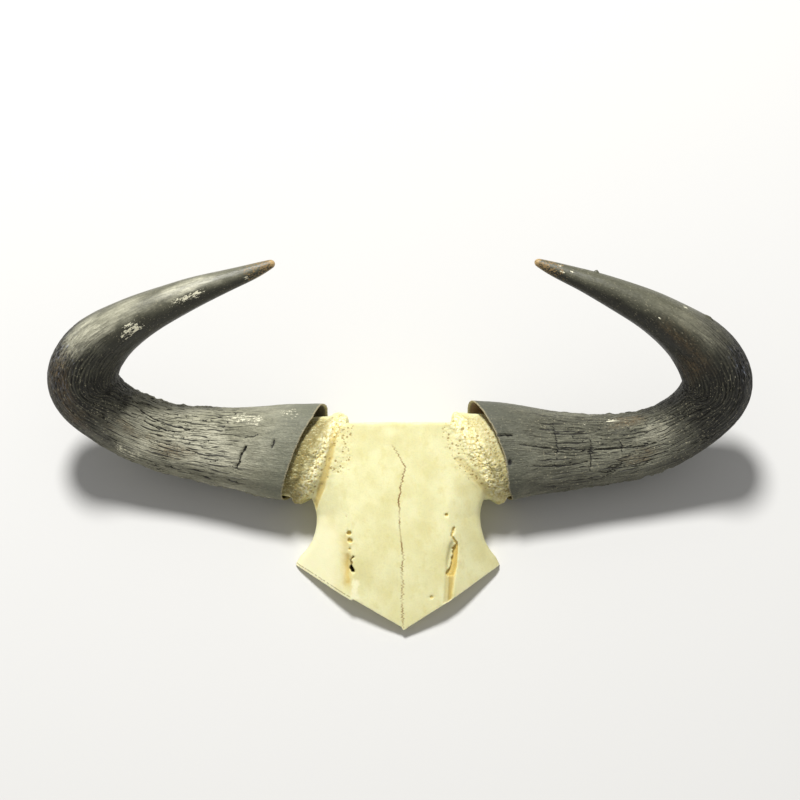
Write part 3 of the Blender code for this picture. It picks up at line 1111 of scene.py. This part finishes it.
        ring, start = np.arange(columns), np.arange(count - 1)[:, None] * columns
        first, after = start + ring, start + (ring + 1) % columns
        quads = np.stack((first, after, after + columns, first + columns), axis=-1)
        middle = np.full(columns, count * columns)
        heel = np.stack((after[0], first[0], middle), axis=-1)
        tip = np.stack((first[-1] + columns, after[-1] + columns, middle + 1), axis=-1)
        centres = [rows[0].mean(axis=0), rows[-1].mean(axis=0)]
        points = np.concatenate((rows.reshape(-1, 3), centres))
        mesh = bpy.data.meshes.new(self.name)
        faces = [*quads.reshape(-1, 4).tolist(), *heel.tolist(), *tip.tolist()]
        mesh.from_pydata(FOREHEAD.to_room(points).tolist(), [], faces)
        if self.side is Side.RIGHT:
            mesh.flip_normals()
        store_marks(mesh, stored)
        piece = make_piece(self.name, mesh, self.finish.dress(self.name + "_horn"))
        LOG.info("%s: %d faces, %.0f mm long", self.name, len(mesh.polygons), self.form.length)
        return piece


@dataclass(frozen=True, kw_only=True)
class Dent:
    """A sunk place in the bone: its depth in millimetres, how gold it is, partly staining and
    partly painted shade, and how dark, which is painted shade in the hole.
    """

    depth: float
    gold: float = 1.0
    dark: float = 0.0


@dataclass(frozen=True)
class Hole(Dent):
    """A round hole in the bone."""

    x: float
    y: float
    radius: float
    gold: float = field(default=0.9, kw_only=True)

    def inside(self, places: Rows, wobble: Rows) -> Rows:
        """How far each place lies in the hole, from 0 to 1."""
        gap = np.hypot(places[:, 0] - self.x, places[:, 1] - self.y) + 0.6 * wobble
        return rise(gap, self.radius + 0.45, self.radius - 0.75)


@dataclass(frozen=True)
class Trench(Dent):
    """A long hollow in the bone: its path, half-width and the softness of its edge."""

    path: Path
    width: float
    edge: float

    def inside(self, places: Rows, wobble: Rows) -> Rows:
        """How far each place lies in the trench, from 0 to 1."""
        gap = path_gap(places[:, :2], self.path) + wobble
        return rise(gap, self.width + self.edge, self.width - self.edge)


@dataclass(frozen=True)
class Tear(Dent):
    """A torn hollow: rows of height, left edge and right edge, down the forehead."""

    rows: tuple[tuple[float, float, float], ...]
    edge: float = 0.45

    def inside(self, places: Rows, wobble: Rows) -> Rows:
        """How far each place lies in the tear.

        Args:
            places: Places in the forehead's frame.
            wobble: Distance by which the edge strays at each place.

        Returns:
            One number from 0 to 1 for each place.
        """
        (x, y), rows = places[:, :2].T, np.array(self.rows)[::-1]
        left, right = (np.interp(y, rows[:, 0], rows[:, side]) for side in (1, 2))
        inside = np.minimum(x - left, right - x) + 0.4 * wobble
        inside = np.minimum(inside, np.minimum(y - rows[0, 0], rows[-1, 0] - y) + 0.5)
        return rise(inside, -self.edge, self.edge)


@dataclass(frozen=True)
class SawCut:
    """A straight saw cut across the nose: its turn in degrees and a place on it."""

    turn: float
    place: tuple[float, float] = (3.0, -1.9)

    def way(self) -> Rows:
        """Direction into the bone."""
        return np.array([-math.sin(math.radians(self.turn)), math.cos(math.radians(self.turn))])

    def inside(self, places: Rows) -> Rows:
        """How far inside the cut each place lies, in millimetres."""
        return (places[:, :2] - np.array(self.place)) @ self.way()


@dataclass(frozen=True)
class BurrSide:
    """Rough bone round one horn core, as lines over the forehead."""

    side: Side
    ridge: Path
    ridge_width: float
    porous_edge: Path
    groove: Path
    groove_share: float = 0.8

    def zones(self, places: Rows, ragged: Rows) -> Marks:
        """Where the rough bone lies.

        Args:
            places: Corners in the forehead's frame.
            ragged: Noise that breaks up the zones' edges.

        Returns:
            Ridge, porous, recess and groove strengths from 0 to 1, in that order.
        """
        x, y = places[:, 0], places[:, 1]
        sign, width = self.side.value, self.ridge_width
        here, low = sign * x > 0, rise(y, 100.0, 106.0)
        ridge, edge = np.array(self.ridge)[::-1], np.array(self.porous_edge)[::-1]
        gap = path_gap(places[:, :2], self.ridge) + ragged
        past = sign * (x - np.interp(y, edge[:, 1], edge[:, 0])) + ragged
        beyond = sign * (x - np.interp(y, ridge[:, 1], ridge[:, 0])) - width + ragged
        cut = path_gap(places[:, :2], self.groove) + 0.5 * ragged
        return {
            "ridge": here * rise(gap, width + 1.5, width - 4.5),
            "porous": here * low * rise(past, -1.5, 3.5),
            "recess": here * low * rise(beyond, -2.0, 3.0),
            "groove": self.groove_share * here * rise(cut, 4.2, 1.6),
        }


@dataclass
class SkullBone:
    """The bone: forehead, burrs, horn cores and crest, with its pores, seams and hollows."""

    name: str
    mouths: tuple[Mouth, Mouth]
    finish: BoneFinish = field(default_factory=BoneFinish)
    seed: int = 5
    voxel: float = 0.62
    softening: int = 24
    most_faces: int = 196000
    pore_size: float = 3.3
    fine_pore_size: float = 1.9
    pore_depth: float = 1.1
    pebble_size: float = 3.4
    pebble_height: float = 0.65
    ridge_height: float = 1.9
    groove_depth: float = 1.6
    recess_depth: float = 0.9
    suture_depth: float = 0.22
    lump_size: tuple[float, float, float] = (26.0, 34.0, 26.0)
    lump_height: float = 0.35
    # olive strip beside each sheath's mouth: partly staining and partly painted shadow of the
    # rim, stronger on the right
    stain_and_shadow_shares: tuple[float, float] = (0.95, 0.4)
    suture: Path = (
        (-6.6, 156.0), (-6.2, 154.8), (-3.4, 150.9), (0.2, 145.0), (2.3, 140.7), (4.4, 136.4),
        (2.3, 127.9), (0.2, 118.1), (-0.9, 106.9), (-0.3, 91.4), (0.2, 80.3), (1.9, 68.8),
        (2.7, 61.6), (1.5, 49.1), (2.3, 37.8), (1.5, 23.7), (2.3, 14.0), (2.6, -2.0),
    )
    burrs: tuple[BurrSide, BurrSide] = (
        BurrSide(
            Side.RIGHT,
            ((-48.5, 181.0), (-52.5, 175.5), (-64.8, 156.8), (-71.0, 142.4), (-76.3, 127.5),
             (-85.8, 112.9), (-90.5, 105.0)),
            7.4,
            ((-39.0, 182.0), (-40.5, 160.0), (-40.0, 147.0), (-42.5, 134.0), (-58.0, 131.0),
             (-66.0, 121.0), (-84.0, 104.0)),
            ((-53.5, 168.0), (-57.2, 161.0), (-59.5, 146.3), (-63.7, 131.6), (-68.2, 116.5),
             (-74.0, 102.0)),
        ),
        BurrSide(
            Side.LEFT,
            ((45.5, 181.0), (49.0, 175.5), (63.4, 156.8), (73.7, 140.0), (80.0, 125.4),
             (86.0, 110.7), (88.5, 105.0)),
            9.0,
            ((33.0, 182.0), (36.0, 160.0), (41.0, 146.0), (49.0, 134.0), (58.0, 127.0),
             (70.0, 119.0), (84.0, 104.0)),
            ((50.0, 143.0), (59.8, 133.7), (68.0, 124.0), (75.4, 115.1)),
            groove_share=0.4,
        ),
    )
    dents: tuple[Hole | Trench | Tear, ...] = (
        Hole(-43.3, 81.1, 2.2, depth=2.6), Hole(-42.4, 74.6, 2.2, depth=2.4),
        Hole(-42.8, 67.7, 1.1, depth=1.2), Hole(39.4, 96.6, 1.3, depth=1.8),
        Hole(26.8, 26.8, 1.4, depth=0.9), Hole(-45.8, 95.0, 0.7, depth=0.6),
        Trench(((-39.6, 61.4), (-41.3, 58.6), (-41.2, 55.0)), 0.75, 0.6,
               depth=2.4, gold=0.9, dark=0.5),
        Trench(((-41.4, 52.6), (-39.9, 48.9)), 1.3, 0.6, depth=8.0, gold=0.2, dark=1.0),
        Trench(((-46.5, 76.0), (-46.5, 56.0), (-45.5, 38.0)), 3.2, 3.6, depth=0.6, gold=0.55),
        Trench(((-44.6, 62.0), (-45.0, 50.0), (-44.6, 40.0)), 2.8, 2.8, depth=0.8, gold=0.95),
        Trench(((45.8, 85.5), (44.0, 78.5), (48.3, 72.0)), 0.75, 0.7, depth=2.0, gold=0.8),
        Tear((
            (73.0, 48.4, 48.9), (70.0, 46.0, 49.3), (68.1, 43.9, 49.3), (66.8, 45.4, 49.2),
            (65.3, 44.4, 49.2), (62.5, 45.0, 49.1), (60.1, 43.3, 49.0), (57.0, 43.8, 48.8),
            (53.5, 42.8, 48.3), (51.0, 41.7, 47.9), (49.2, 39.4, 47.5), (46.9, 38.6, 46.9),
            (45.0, 40.4, 46.2),
        ), depth=2.8),
        Tear(((48.0, 41.0, 47.2), (40.0, 41.2, 45.8), (30.0, 40.8, 44.6), (22.0, 40.4, 44.0)),
             1.3, depth=1.9, gold=0.85),
        Tear(((46.0, 38.6, 46.0), (36.0, 38.4, 45.4), (22.0, 37.2, 44.4)), 1.2,
             depth=0.9, gold=0.4),
    )
    spurs: Path = ((-87.3, 109.6), (84.2, 110.0))
    spur_reach: float = 4.5
    spur_out: float = 1.8
    spur_down: float = 2.6
    nose_cuts: tuple[SawCut, SawCut] = (SawCut(-29.8), SawCut(32.6))
    nose_step: float = 1.7
    nose_step_at: float = -40.4
    broken_edge: Path = ((-37.2, 38.5), (-38.6, 27.0))

    def applied(self, item: bpy.types.Object) -> bpy.types.Mesh:
        """The mesh of an object with its modifiers worked in, and the object removed.

        Args:
            item: The object.

        Returns:
            A new mesh.
        """
        bpy.context.view_layer.update()
        shown = item.evaluated_get(bpy.context.evaluated_depsgraph_get())
        mesh = bpy.data.meshes.new_from_object(shown)
        bpy.data.objects.remove(item)
        return mesh

    def voxel_copy(self, source: bpy.types.Object) -> bpy.types.Mesh:
        """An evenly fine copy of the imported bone's mesh.

        Args:
            source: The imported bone.

        Returns:
            A new mesh.
        """
        rough = add_to_scene("bone_blank", source.data.copy())
        even = rough.modifiers.new("Even", "REMESH")
        even.mode, even.voxel_size = "VOXEL", self.voxel * MM
        return self.applied(rough)

    def read(self, mesh: bpy.types.Mesh) -> Rows:
        """Corners of a mesh in the forehead's frame."""
        return FOREHEAD.to_forehead(read_rows(mesh.vertices, "co").astype(float))

    def write(self, mesh: bpy.types.Mesh, places: Rows) -> None:
        """Put places back on a mesh, none of them below the floor."""
        room = FOREHEAD.to_room(places)
        move_corners(mesh, np.maximum(room, (-np.inf, -np.inf, 0.0)))

    def smooth(self, mesh: bpy.types.Mesh, places: Rows) -> Rows:
        """Wear away the facets of the blank, keeping its sawn edges.

        Args:
            mesh: The blank.
            places: Its corners in the forehead's frame.

        Returns:
            The moved corners.
        """
        edges = np.empty(len(mesh.edges) * 2, np.int32)
        mesh.edges.foreach_get("vertices", edges)
        one, two = edges.reshape(-1, 2).T
        count = len(places)
        links = np.bincount(one, minlength=count) + np.bincount(two, minlength=count)
        height = FOREHEAD.to_room(places)[:, 2] / MM
        cut = np.minimum(*(np.abs(cut.inside(places)) for cut in self.nose_cuts))
        free = 0.55 * (rise(cut, 0.5, 2.2) * rise(height, 0.2, 2.0))[:, None]
        for _ in range(self.softening):
            total = np.stack([
                np.bincount(one, row[two], count) + np.bincount(two, row[one], count)
                for row in places.T
            ], axis=1)
            places = places + free * (total / np.maximum(links, 1)[:, None] - places)
        return places

    def relief(self, places: Rows, normals: Rows) -> tuple[Rows, Marks]:
        """Carve the bone.

        Args:
            places: Corners in the forehead's frame.
            normals: Their directions out of the bone.

        Returns:
            The moved corners, and the marks for the finish.
        """
        x, y, grain = places[:, 0], places[:, 1], self.grain
        face = rise(normals[:, 2], 0.1, 0.45)
        sawn = rise(FOREHEAD.to_room(places)[:, 2] / MM, 0.6, 0.1)
        worn = 1 - sawn
        ragged = 2.2 * grain.layered(places, 7.0, 3)
        right, left = (burr.zones(places, ragged) for burr in self.burrs)
        ridge, porous, recess, groove = (np.maximum(right[name], left[name]) for name in right)

        first, second, _ = grain.cells(places, self.pore_size)
        fine, _, _ = grain.cells(places + 50.0, self.fine_pore_size)
        wanted = rise(grain.smooth(places + 800, 6.0), -0.45, 0.1)
        pore = np.maximum(rise(first, 0.36, 0.16) * wanted, 0.6 * rise(fine, 0.34, 0.15))
        webs = rise(second - first, 0.32, 0.05)
        knob, _, height = grain.cells(places + 3000, self.pebble_size)
        strong = porous * (1 - 0.9 * groove) * (0.3 + 0.7 * ridge + 0.5 * recess)
        strong = np.clip(strong, 0.0, 1.2) * face
        brow = rise(normals[:, 2], -0.6, 0.0) * ridge * porous
        lift = self.ridge_height * ridge * face * (1 - 0.5 * recess)
        pebble = self.pebble_height * rise(knob, 0.75, 0.2) * (0.7 + 0.5 * height)
        lift += brow * (pebble - 0.3)
        lift += brow * (1 - face) * 1.2 * grain.layered(places + 3300, 4.0, 2)
        lift += strong * (0.95 * grain.layered(places, 6.0, 3) - 0.2)
        lift += strong * 0.3 * grain.smooth(places + 333, 2.2)
        lift -= strong * (self.pore_depth * pore + 0.25 * webs)
        lift -= self.groove_depth * groove * face
        lift -= self.recess_depth * recess * face
        plain = worn * (1 - strong)
        lift += plain * self.lump_height * grain.smooth(places + 1200, self.lump_size)
        lift += plain * 0.1 * grain.layered(places + 1500, 5.0, 3)
        back = rise(normals[:, 1], 0.2, 0.7) * rise(y, 140.0, 165.0) * worn
        lift += back * 0.6 * grain.layered(places + 1900, 6.0, 3)

        # hollow: gold in pores, grooves and knob gaps, partly staining and partly painted warm
        # shade in the recesses
        hollow = 0.55 * strong * pore + 0.1 * strong * webs + groove * face
        hollow = np.maximum(hollow, 0.5 * brow * rise(knob, 0.35, 0.75))
        painted_hole_shade, sink, strip = np.zeros((3, len(places)))
        wobble = 0.8 * grain.layered(places + 2300, 2.6, 2)
        # Each dent sinks the bone; its gold is partly staining and partly painted shade, and its
        # dark is painted shade in the hole.
        for dent in self.dents:
            cut = dent.inside(places, wobble) * face
            sink = np.maximum(sink, dent.depth * cut)
            hollow = np.maximum(hollow, dent.gold * cut)
            painted_hole_shade = np.maximum(painted_hole_shade, dent.dark * rise(cut, 0.35, 0.9))
        base = np.array(self.suture)[::-1]
        seam = x - np.interp(y, base[:, 1], base[:, 0])
        suture = rise(y, base[-1, 1] + 1.0, base[-1, 1] - 2.0) * rise(np.abs(seam), 9.0, 6.0)
        near = rise(np.abs(seam), 1.9, 0.3)
        sink = np.maximum(sink, self.suture_depth * suture * near * face)
        patchy = 4.0 * grain.layered(places + 2500, 6.0, 3)
        # Olive strip beside each sheath's mouth: partly staining and partly painted shadow cast
        # by the rim.
        for mouth, share in zip(self.mouths, self.stain_and_shadow_shares):
            past = mouth.past(places)
            lift -= np.maximum(lift, 0.0) * rise(past, -4.0, -0.5)
            strip = np.maximum(strip, share * rise(past + patchy, -20.0, -10.0) * face)

        moved = places + normals * lift[:, None] * worn[:, None]
        for x_spur, y_spur in self.spurs:
            swell = np.exp(-((np.hypot(x - x_spur, y - y_spur) / self.spur_reach) ** 2))
            moved[:, 0] += math.copysign(self.spur_out, x_spur) * swell
            moved[:, 1] -= self.spur_down * swell
        moved[:, 2] -= sink * worn
        cut = self.nose_cuts[0]
        beyond = rise(x, -41.6, self.nose_step_at) * rise(x, 3.0, 0.0)
        push = self.nose_step * np.clip(1 - cut.inside(moved) / 7.0, 0.0, 1.0) * beyond
        moved[:, :2] += cut.way() * push[:, None]

        warm = 0.35 * rise(grain.layered(places + 2700, 16.0, 3), 0.05, 0.5)
        warm = np.maximum(warm, 0.5 * strong * rise(grain.smooth(places, 3.0), -0.2, 0.6))
        from_cut = np.minimum(*(cut.inside(places) for cut in self.nose_cuts))
        broken = 1.6 * grain.layered(places + 2900, 5.0, 2)
        broken = path_gap(places[:, :2], self.broken_edge) + broken
        return moved, {
            "place": places,
            "hollow": np.clip(hollow, 0.0, 1.0),
            "painted_hole_shade": painted_hole_shade,
            # olive strip: partly staining and partly painted rim shadow, with a little staining
            # in the recess
            "stain_and_rim_shadow": np.maximum(strip, 0.2 * recess * face),
            "warm": np.clip(warm, 0.0, 1.0),
            "suture": suture * face,
            "suture_gap": np.clip(seam, -12.0, 12.0),
            "edge_gap": np.clip(from_cut, 0.0, 12.0),
            "layered": rise(x, self.nose_step_at, -42.0) * face,
            # painted light: the right wing, lit by the lamp, made lighter
            "painted_lit_wing": rise(x + patchy, -42.0, -62.0) * rise(y + patchy, 104.0, 78.0) * face,
            "chalky": rise(broken, 4.2, 2.2) * face,
            "teeth": 2.6 + 4.4 * rise(y, 72.0, 54.0) + 2.2 * rise(y, 112.0, 128.0),
            "porous": np.clip(strong, 0.0, 1.0),
            "pitted": np.clip(1.4 * porous, 0.0, 1.0) * face,
            "ridge": ridge * face,
            "sawn": sawn,
        }

    def thinned(self, mesh: bpy.types.Mesh, marks: Marks) -> tuple[bpy.types.Mesh, Marks]:
        """Fewer faces where the bone is plain, with each mark read from the nearest corner.

        Args:
            mesh: The carved mesh.
            marks: Its marks.

        Returns:
            The lighter mesh and its marks.
        """
        item = add_to_scene("bone_carved", mesh)
        faces = sum(len(polygon.vertices) - 2 for polygon in mesh.polygons)
        item.modifiers.new("Thin", "DECIMATE").ratio = min(1.0, self.most_faces / faces)
        light = self.applied(item)
        tree = kdtree.KDTree(len(mesh.vertices))
        for i, corner in enumerate(mesh.vertices):
            tree.insert(corner.co, i)
        tree.balance()
        nearest = [tree.find(corner.co)[1] for corner in light.vertices]
        return light, {name: values[nearest] for name, values in marks.items()}

    def build(self, source: bpy.types.Object) -> bpy.types.Object:
        """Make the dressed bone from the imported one.

        Args:
            source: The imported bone, which isn't changed.

        Returns:
            The finished object.
        """
        self.grain = Grain(self.seed)
        mesh = self.voxel_copy(source)
        LOG.info("%s: %d corners in the blank", self.name, len(mesh.vertices))
        self.write(mesh, self.smooth(mesh, self.read(mesh)))
        normals = read_rows(mesh.vertex_normals, "vector").astype(float)
        moved, marks = self.relief(self.read(mesh), FOREHEAD.turned(normals, back=True))
        self.write(mesh, moved)
        light, marks = self.thinned(mesh, marks)
        light.name = self.name
        store_marks(light, marks)
        piece = make_piece(self.name, light, self.finish.dress(self.name + "_bone"))
        LOG.info("%s: %d faces", self.name, len(light.polygons))
        return piece


RIGHT_SECTIONS = (
    (-46, 147.5, -34, 44, 36.5), (-97, 148.7, -35, 41.7, 36), (-128, 151.3, -37, 37, 34.5),
    (-165, 155.3, -39, 32.2, 32), (-208, 163, -38, 29.2, 30), (-249.8, 183, -27, 28.3, 29.1),
    (-271, 209.1, -7, 30.6, 29.4), (-261.5, 233, 9, 27.8, 27.8),
    (-228.2, 258.5, 26, 20.2, 20.7), (-175.1, 282.6, 32, 13.2, 13.5),
    (-118.3, 302.7, 33, 6.2, 6.2), (-104.3, 308.9, 33, 3, 3),
)
LEFT_SECTIONS = (
    (46, 148.5, -34, 46, 37), (86, 149, -35, 43.7, 36), (108, 149.5, -36, 39.5, 35.4),
    (139, 149.8, -37, 34.2, 33.5), (181, 152, -39, 29.7, 30.5), (222, 160, -37, 27.8, 29),
    (255.3, 180.4, -26, 27.3, 28.1), (271.9, 206, -7, 29.7, 28.4),
    (258.9, 232.5, 9, 27, 26.8), (226.2, 259, 26, 19.5, 20.2), (173, 285.7, 32, 12.1, 13),
    (121.3, 305.8, 33, 5.1, 5.3), (112.1, 309.9, 33, 2.7, 2.7),
)

RIGHT_SHEATH = HornSheath(
    name="right_horn_sheath",
    side=Side.RIGHT,
    sections=RIGHT_SECTIONS,
    mouth=Mouth(Side.RIGHT, (-66.8, 190.7, -34), -21.4, front=5.5, bow=3.0, bow_at=52.0),
    finish=HornFinish(
        body=tone(180, 177, 154), dark=tone(138, 136, 114), pale=tone(194, 191, 167),
        deep=tone(38, 37, 29), arm=tone(86, 85, 69), calm=tone(112, 113, 95), under=0.85,
        # painted shade: this sheath's lining is darker, for the shade inside its mouth
        lining=tone(62, 54, 40),
    ),
    splits=(
        Split(((89.9, 64.5), (88.6, 71), (86.7, 80.5), (85.4, 88.5), (84.1, 95.5)), 1.15, 2.4),
        Split(((59.2, 103.5), (61.1, 95.5)), 0.9, 1.6),
        Split(((84.8, 106), (78.4, 107.5), (74.5, 111.5)), 0.45, 0.9),
        Split(((97.5, 139.5), (95.6, 146.5)), 0.9, 1.6),
        Split(((192.7, 122), (174.9, 117), (156.3, 113), (135.9, 110)), 0.5, 0.9),
        Split(((184.4, 107.5), (167.2, 103.5), (149.9, 103.5)), 0.5, 0.9),
    ),
    patches=patches(
        scuff=(
            (330, 114, 12, 8), (385, 105, 19, 4), (434.3, 115.5, 3.5, 2), (49.6, 141, 11, 7, 0.8),
            (91.8, 133, 14, 6.5, 0.7), (77.7, 129, 12, 6.5, 0.75), (187.6, 47, 15, 7),
            (76, 16, 34, 4, 0.6), (120, 12, 16, 3, 0.5),
        ),
        scale=((269, 46, 26, 24),),
        brown=((161, 78, 36, 10), (205, 86, 30, 9), (254, 51, 30, 20)),
        # pale patches: partly weathered grey, partly painted highlights on the outer bend, the
        # arm and the lit middle of the lower arm
        pale=(
            (296, 52, 26, 15), (322, 63, 38, 13, 0.7), (383, 67, 32, 7), (120, 84, 34, 20),
            (60, 109, 34, 26, 0.15),
        ),
        lump=((165, 176, 62, 13), (90, 2, 56, 9), (165, 8, 60, 7, 0.6)),
    ),
    seed=11,
)
LEFT_SHEATH = HornSheath(
    name="left_horn_sheath",
    side=Side.LEFT,
    sections=LEFT_SECTIONS,
    mouth=Mouth(Side.LEFT, (62.9, 193.3, -34), 21.5, front=0.0, bow=7.2, bow_at=38.0),
    # This sheath's body and bend are darker than the other's: partly its own tone and partly
    # painted shadow cast by its upper arm over its lower arm.
    finish=HornFinish(
        body=tone(124, 123, 105), dark=tone(92, 91, 75), pale=tone(200, 196, 172),
        deep=tone(30, 29, 22), arm=tone(88, 87, 71), calm=tone(86, 87, 73), under=0.9,
        ridged=0.45, dashed=2.6,
    ),
    splits=(
        Split(((54.5, 80.5), (84.5, 86), (114.4, 88.5), (142.4, 90), (176.7, 92.5)), 0.5, 1.2),
        Split(((83.8, 51), (85.1, 62), (86.4, 72.5), (87.0, 84.5), (86.4, 99.5)), 0.5, 0.9),
        Split(((115.0, 72.5), (116.3, 80.5), (115.0, 96.5), (115.0, 121)), 0.55, 1.1),
        Split(((27.8, 72.5), (40.5, 70), (48.8, 71)), 0.8, 2.6),
        Split(((66, 107.5), (90, 109), (112, 106)), 0.4, 0.7),
        Split(((143.5, 78), (144.5, 86), (143.8, 97)), 0.45, 0.9),
        Split(((72, 60), (96, 62), (112, 61)), 0.4, 0.7),
    ),
    patches=patches(
        scuff=(
            (138.6, 41.5, 14, 3.2), (110.6, 49.5, 4, 2), (271, 109, 2.4, 2),
            (437.7, 131.5, 3.5, 2), (433, 82, 3, 1.6), (426, 106, 3, 1.4),
            (332.7, 146, 3, 1.4), (347, 79, 1.4, 1.0), (276, 41.5, 1.6, 1.4),
        ),
        pit=((45.7, 101, 2.4, 3.4),),
        scale=((273, 133, 18, 16),),
        brown=((296, 33, 20, 14), (157, 47, 26, 8), (159, 107, 24, 8), (317, 72, 40, 10, 0.6)),
        # pale patches: partly weathered grey, partly painted highlights where the lamp lights
        # this sheath
        pale=((182, 78, 24, 10, 0.6), (318, 110, 40, 9, 0.2)),
        lump=(
            (407, 164, 2.2, 1.6), (415, 154, 1.8, 1.2), (312, 161, 5, 2.2),
            (140, 176, 70, 9, 0.8), (150, 4, 70, 8, 0.6),
        ),
    ),
    cracked_from=70.0,
    seed=23,
)


@dataclass
class Studio:
    """Pale floor, soft lights and the camera."""

    floor_size: float = 9.0
    floor_gap: float = 0.0002
    floor_tone: Colour = tone(214, 213, 210)
    floor_roughness: float = 0.9
    floor_specular: float = 0.1
    key_way: tuple[float, float, float] = (-0.13, 0.79, 0.6)
    key_aim: tuple[float, float, float] = (0.0, 0.0, 0.06)
    key_distance: float = 3.6
    key_size: float = 0.8
    key_power: float = 162.0
    fill_strength: float = 0.34
    eye: tuple[float, float, float] = (0.0, 194.2, 1600.0)
    lens: float = 84.7
    sensor: float = 36.0

    def floor(self) -> bpy.types.Object:
        """A wide plain floor, just under the bone.

        Returns:
            The floor.
        """
        half, sides = self.floor_size / 2, ((-1, -1), (1, -1), (1, 1), (-1, 1))
        mesh = bpy.data.meshes.new("floor")
        corners = [(x * half, y * half, -self.floor_gap) for x, y in sides]
        mesh.from_pydata(corners, [], [(0, 1, 2, 3)])
        return make_piece("floor", mesh, Bench("floor_paper").surface({
            "Base Color": self.floor_tone,
            "Roughness": self.floor_roughness,
            "Specular IOR Level": self.floor_specular,
        }))

    def lamp(self) -> None:
        """Hang the key lamp beyond the crown, a little to the right horn's side."""
        data = bpy.data.lights.new("key_lamp", "AREA")
        data.shape, data.size, data.energy = "DISK", self.key_size, self.key_power
        lamp = add_to_scene("key_lamp", data)
        way = Vector(FOREHEAD.turned(np.array(self.key_way)))
        lamp.location = Vector(self.key_aim) + way.normalized() * self.key_distance
        lamp.rotation_euler = way.to_track_quat("Z", "Y").to_euler()

    def sky(self) -> None:
        """Give even pale light from all round."""
        world = bpy.data.worlds.new("studio")
        world.use_nodes = True
        back = world.node_tree.nodes["Background"]
        back.inputs["Color"].default_value = (1.0, 1.0, 1.0, 1.0)
        back.inputs["Strength"].default_value = self.fill_strength
        bpy.context.scene.world = world

    def camera(self) -> None:
        """Set the camera square to the forehead."""
        data = bpy.data.cameras.new("camera")
        data.lens, data.sensor_width = self.lens, self.sensor
        camera = add_to_scene("camera", data)
        camera.location = Vector(FOREHEAD.to_room(np.array(self.eye)))
        camera.rotation_euler = (FOREHEAD.lean, 0.0, 0.0)
        bpy.context.scene.camera = camera

    def build(self) -> None:
        """Set up floor, lights and camera."""
        self.floor()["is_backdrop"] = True
        self.lamp()
        self.sky()
        self.camera()
        bpy.context.scene.view_settings.view_transform = "Standard"


def main() -> None:
    """Build the pieces in order and place them on the frame, kept inside the imported model's
    box.
    """
    logging.basicConfig(level=logging.INFO, format="%(message)s")
    cad_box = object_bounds()
    Studio().build()

    skull = SkullBone("skull_bone", mouths=(RIGHT_SHEATH.mouth, LEFT_SHEATH.mouth))
    bone = skull.build(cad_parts["skull_cap"])
    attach(bone, "root")
    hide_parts("skull_cap")
    keep_inside(bone.data, cad_box)
    for sheath, node in ((RIGHT_SHEATH, "horn_sheath_right"), (LEFT_SHEATH, "horn_sheath_left")):
        horn = sheath.build()
        keep_inside(horn.data, cad_box)
        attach(horn, "root")
        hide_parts(node)


if __name__ == "__main__":
    main()
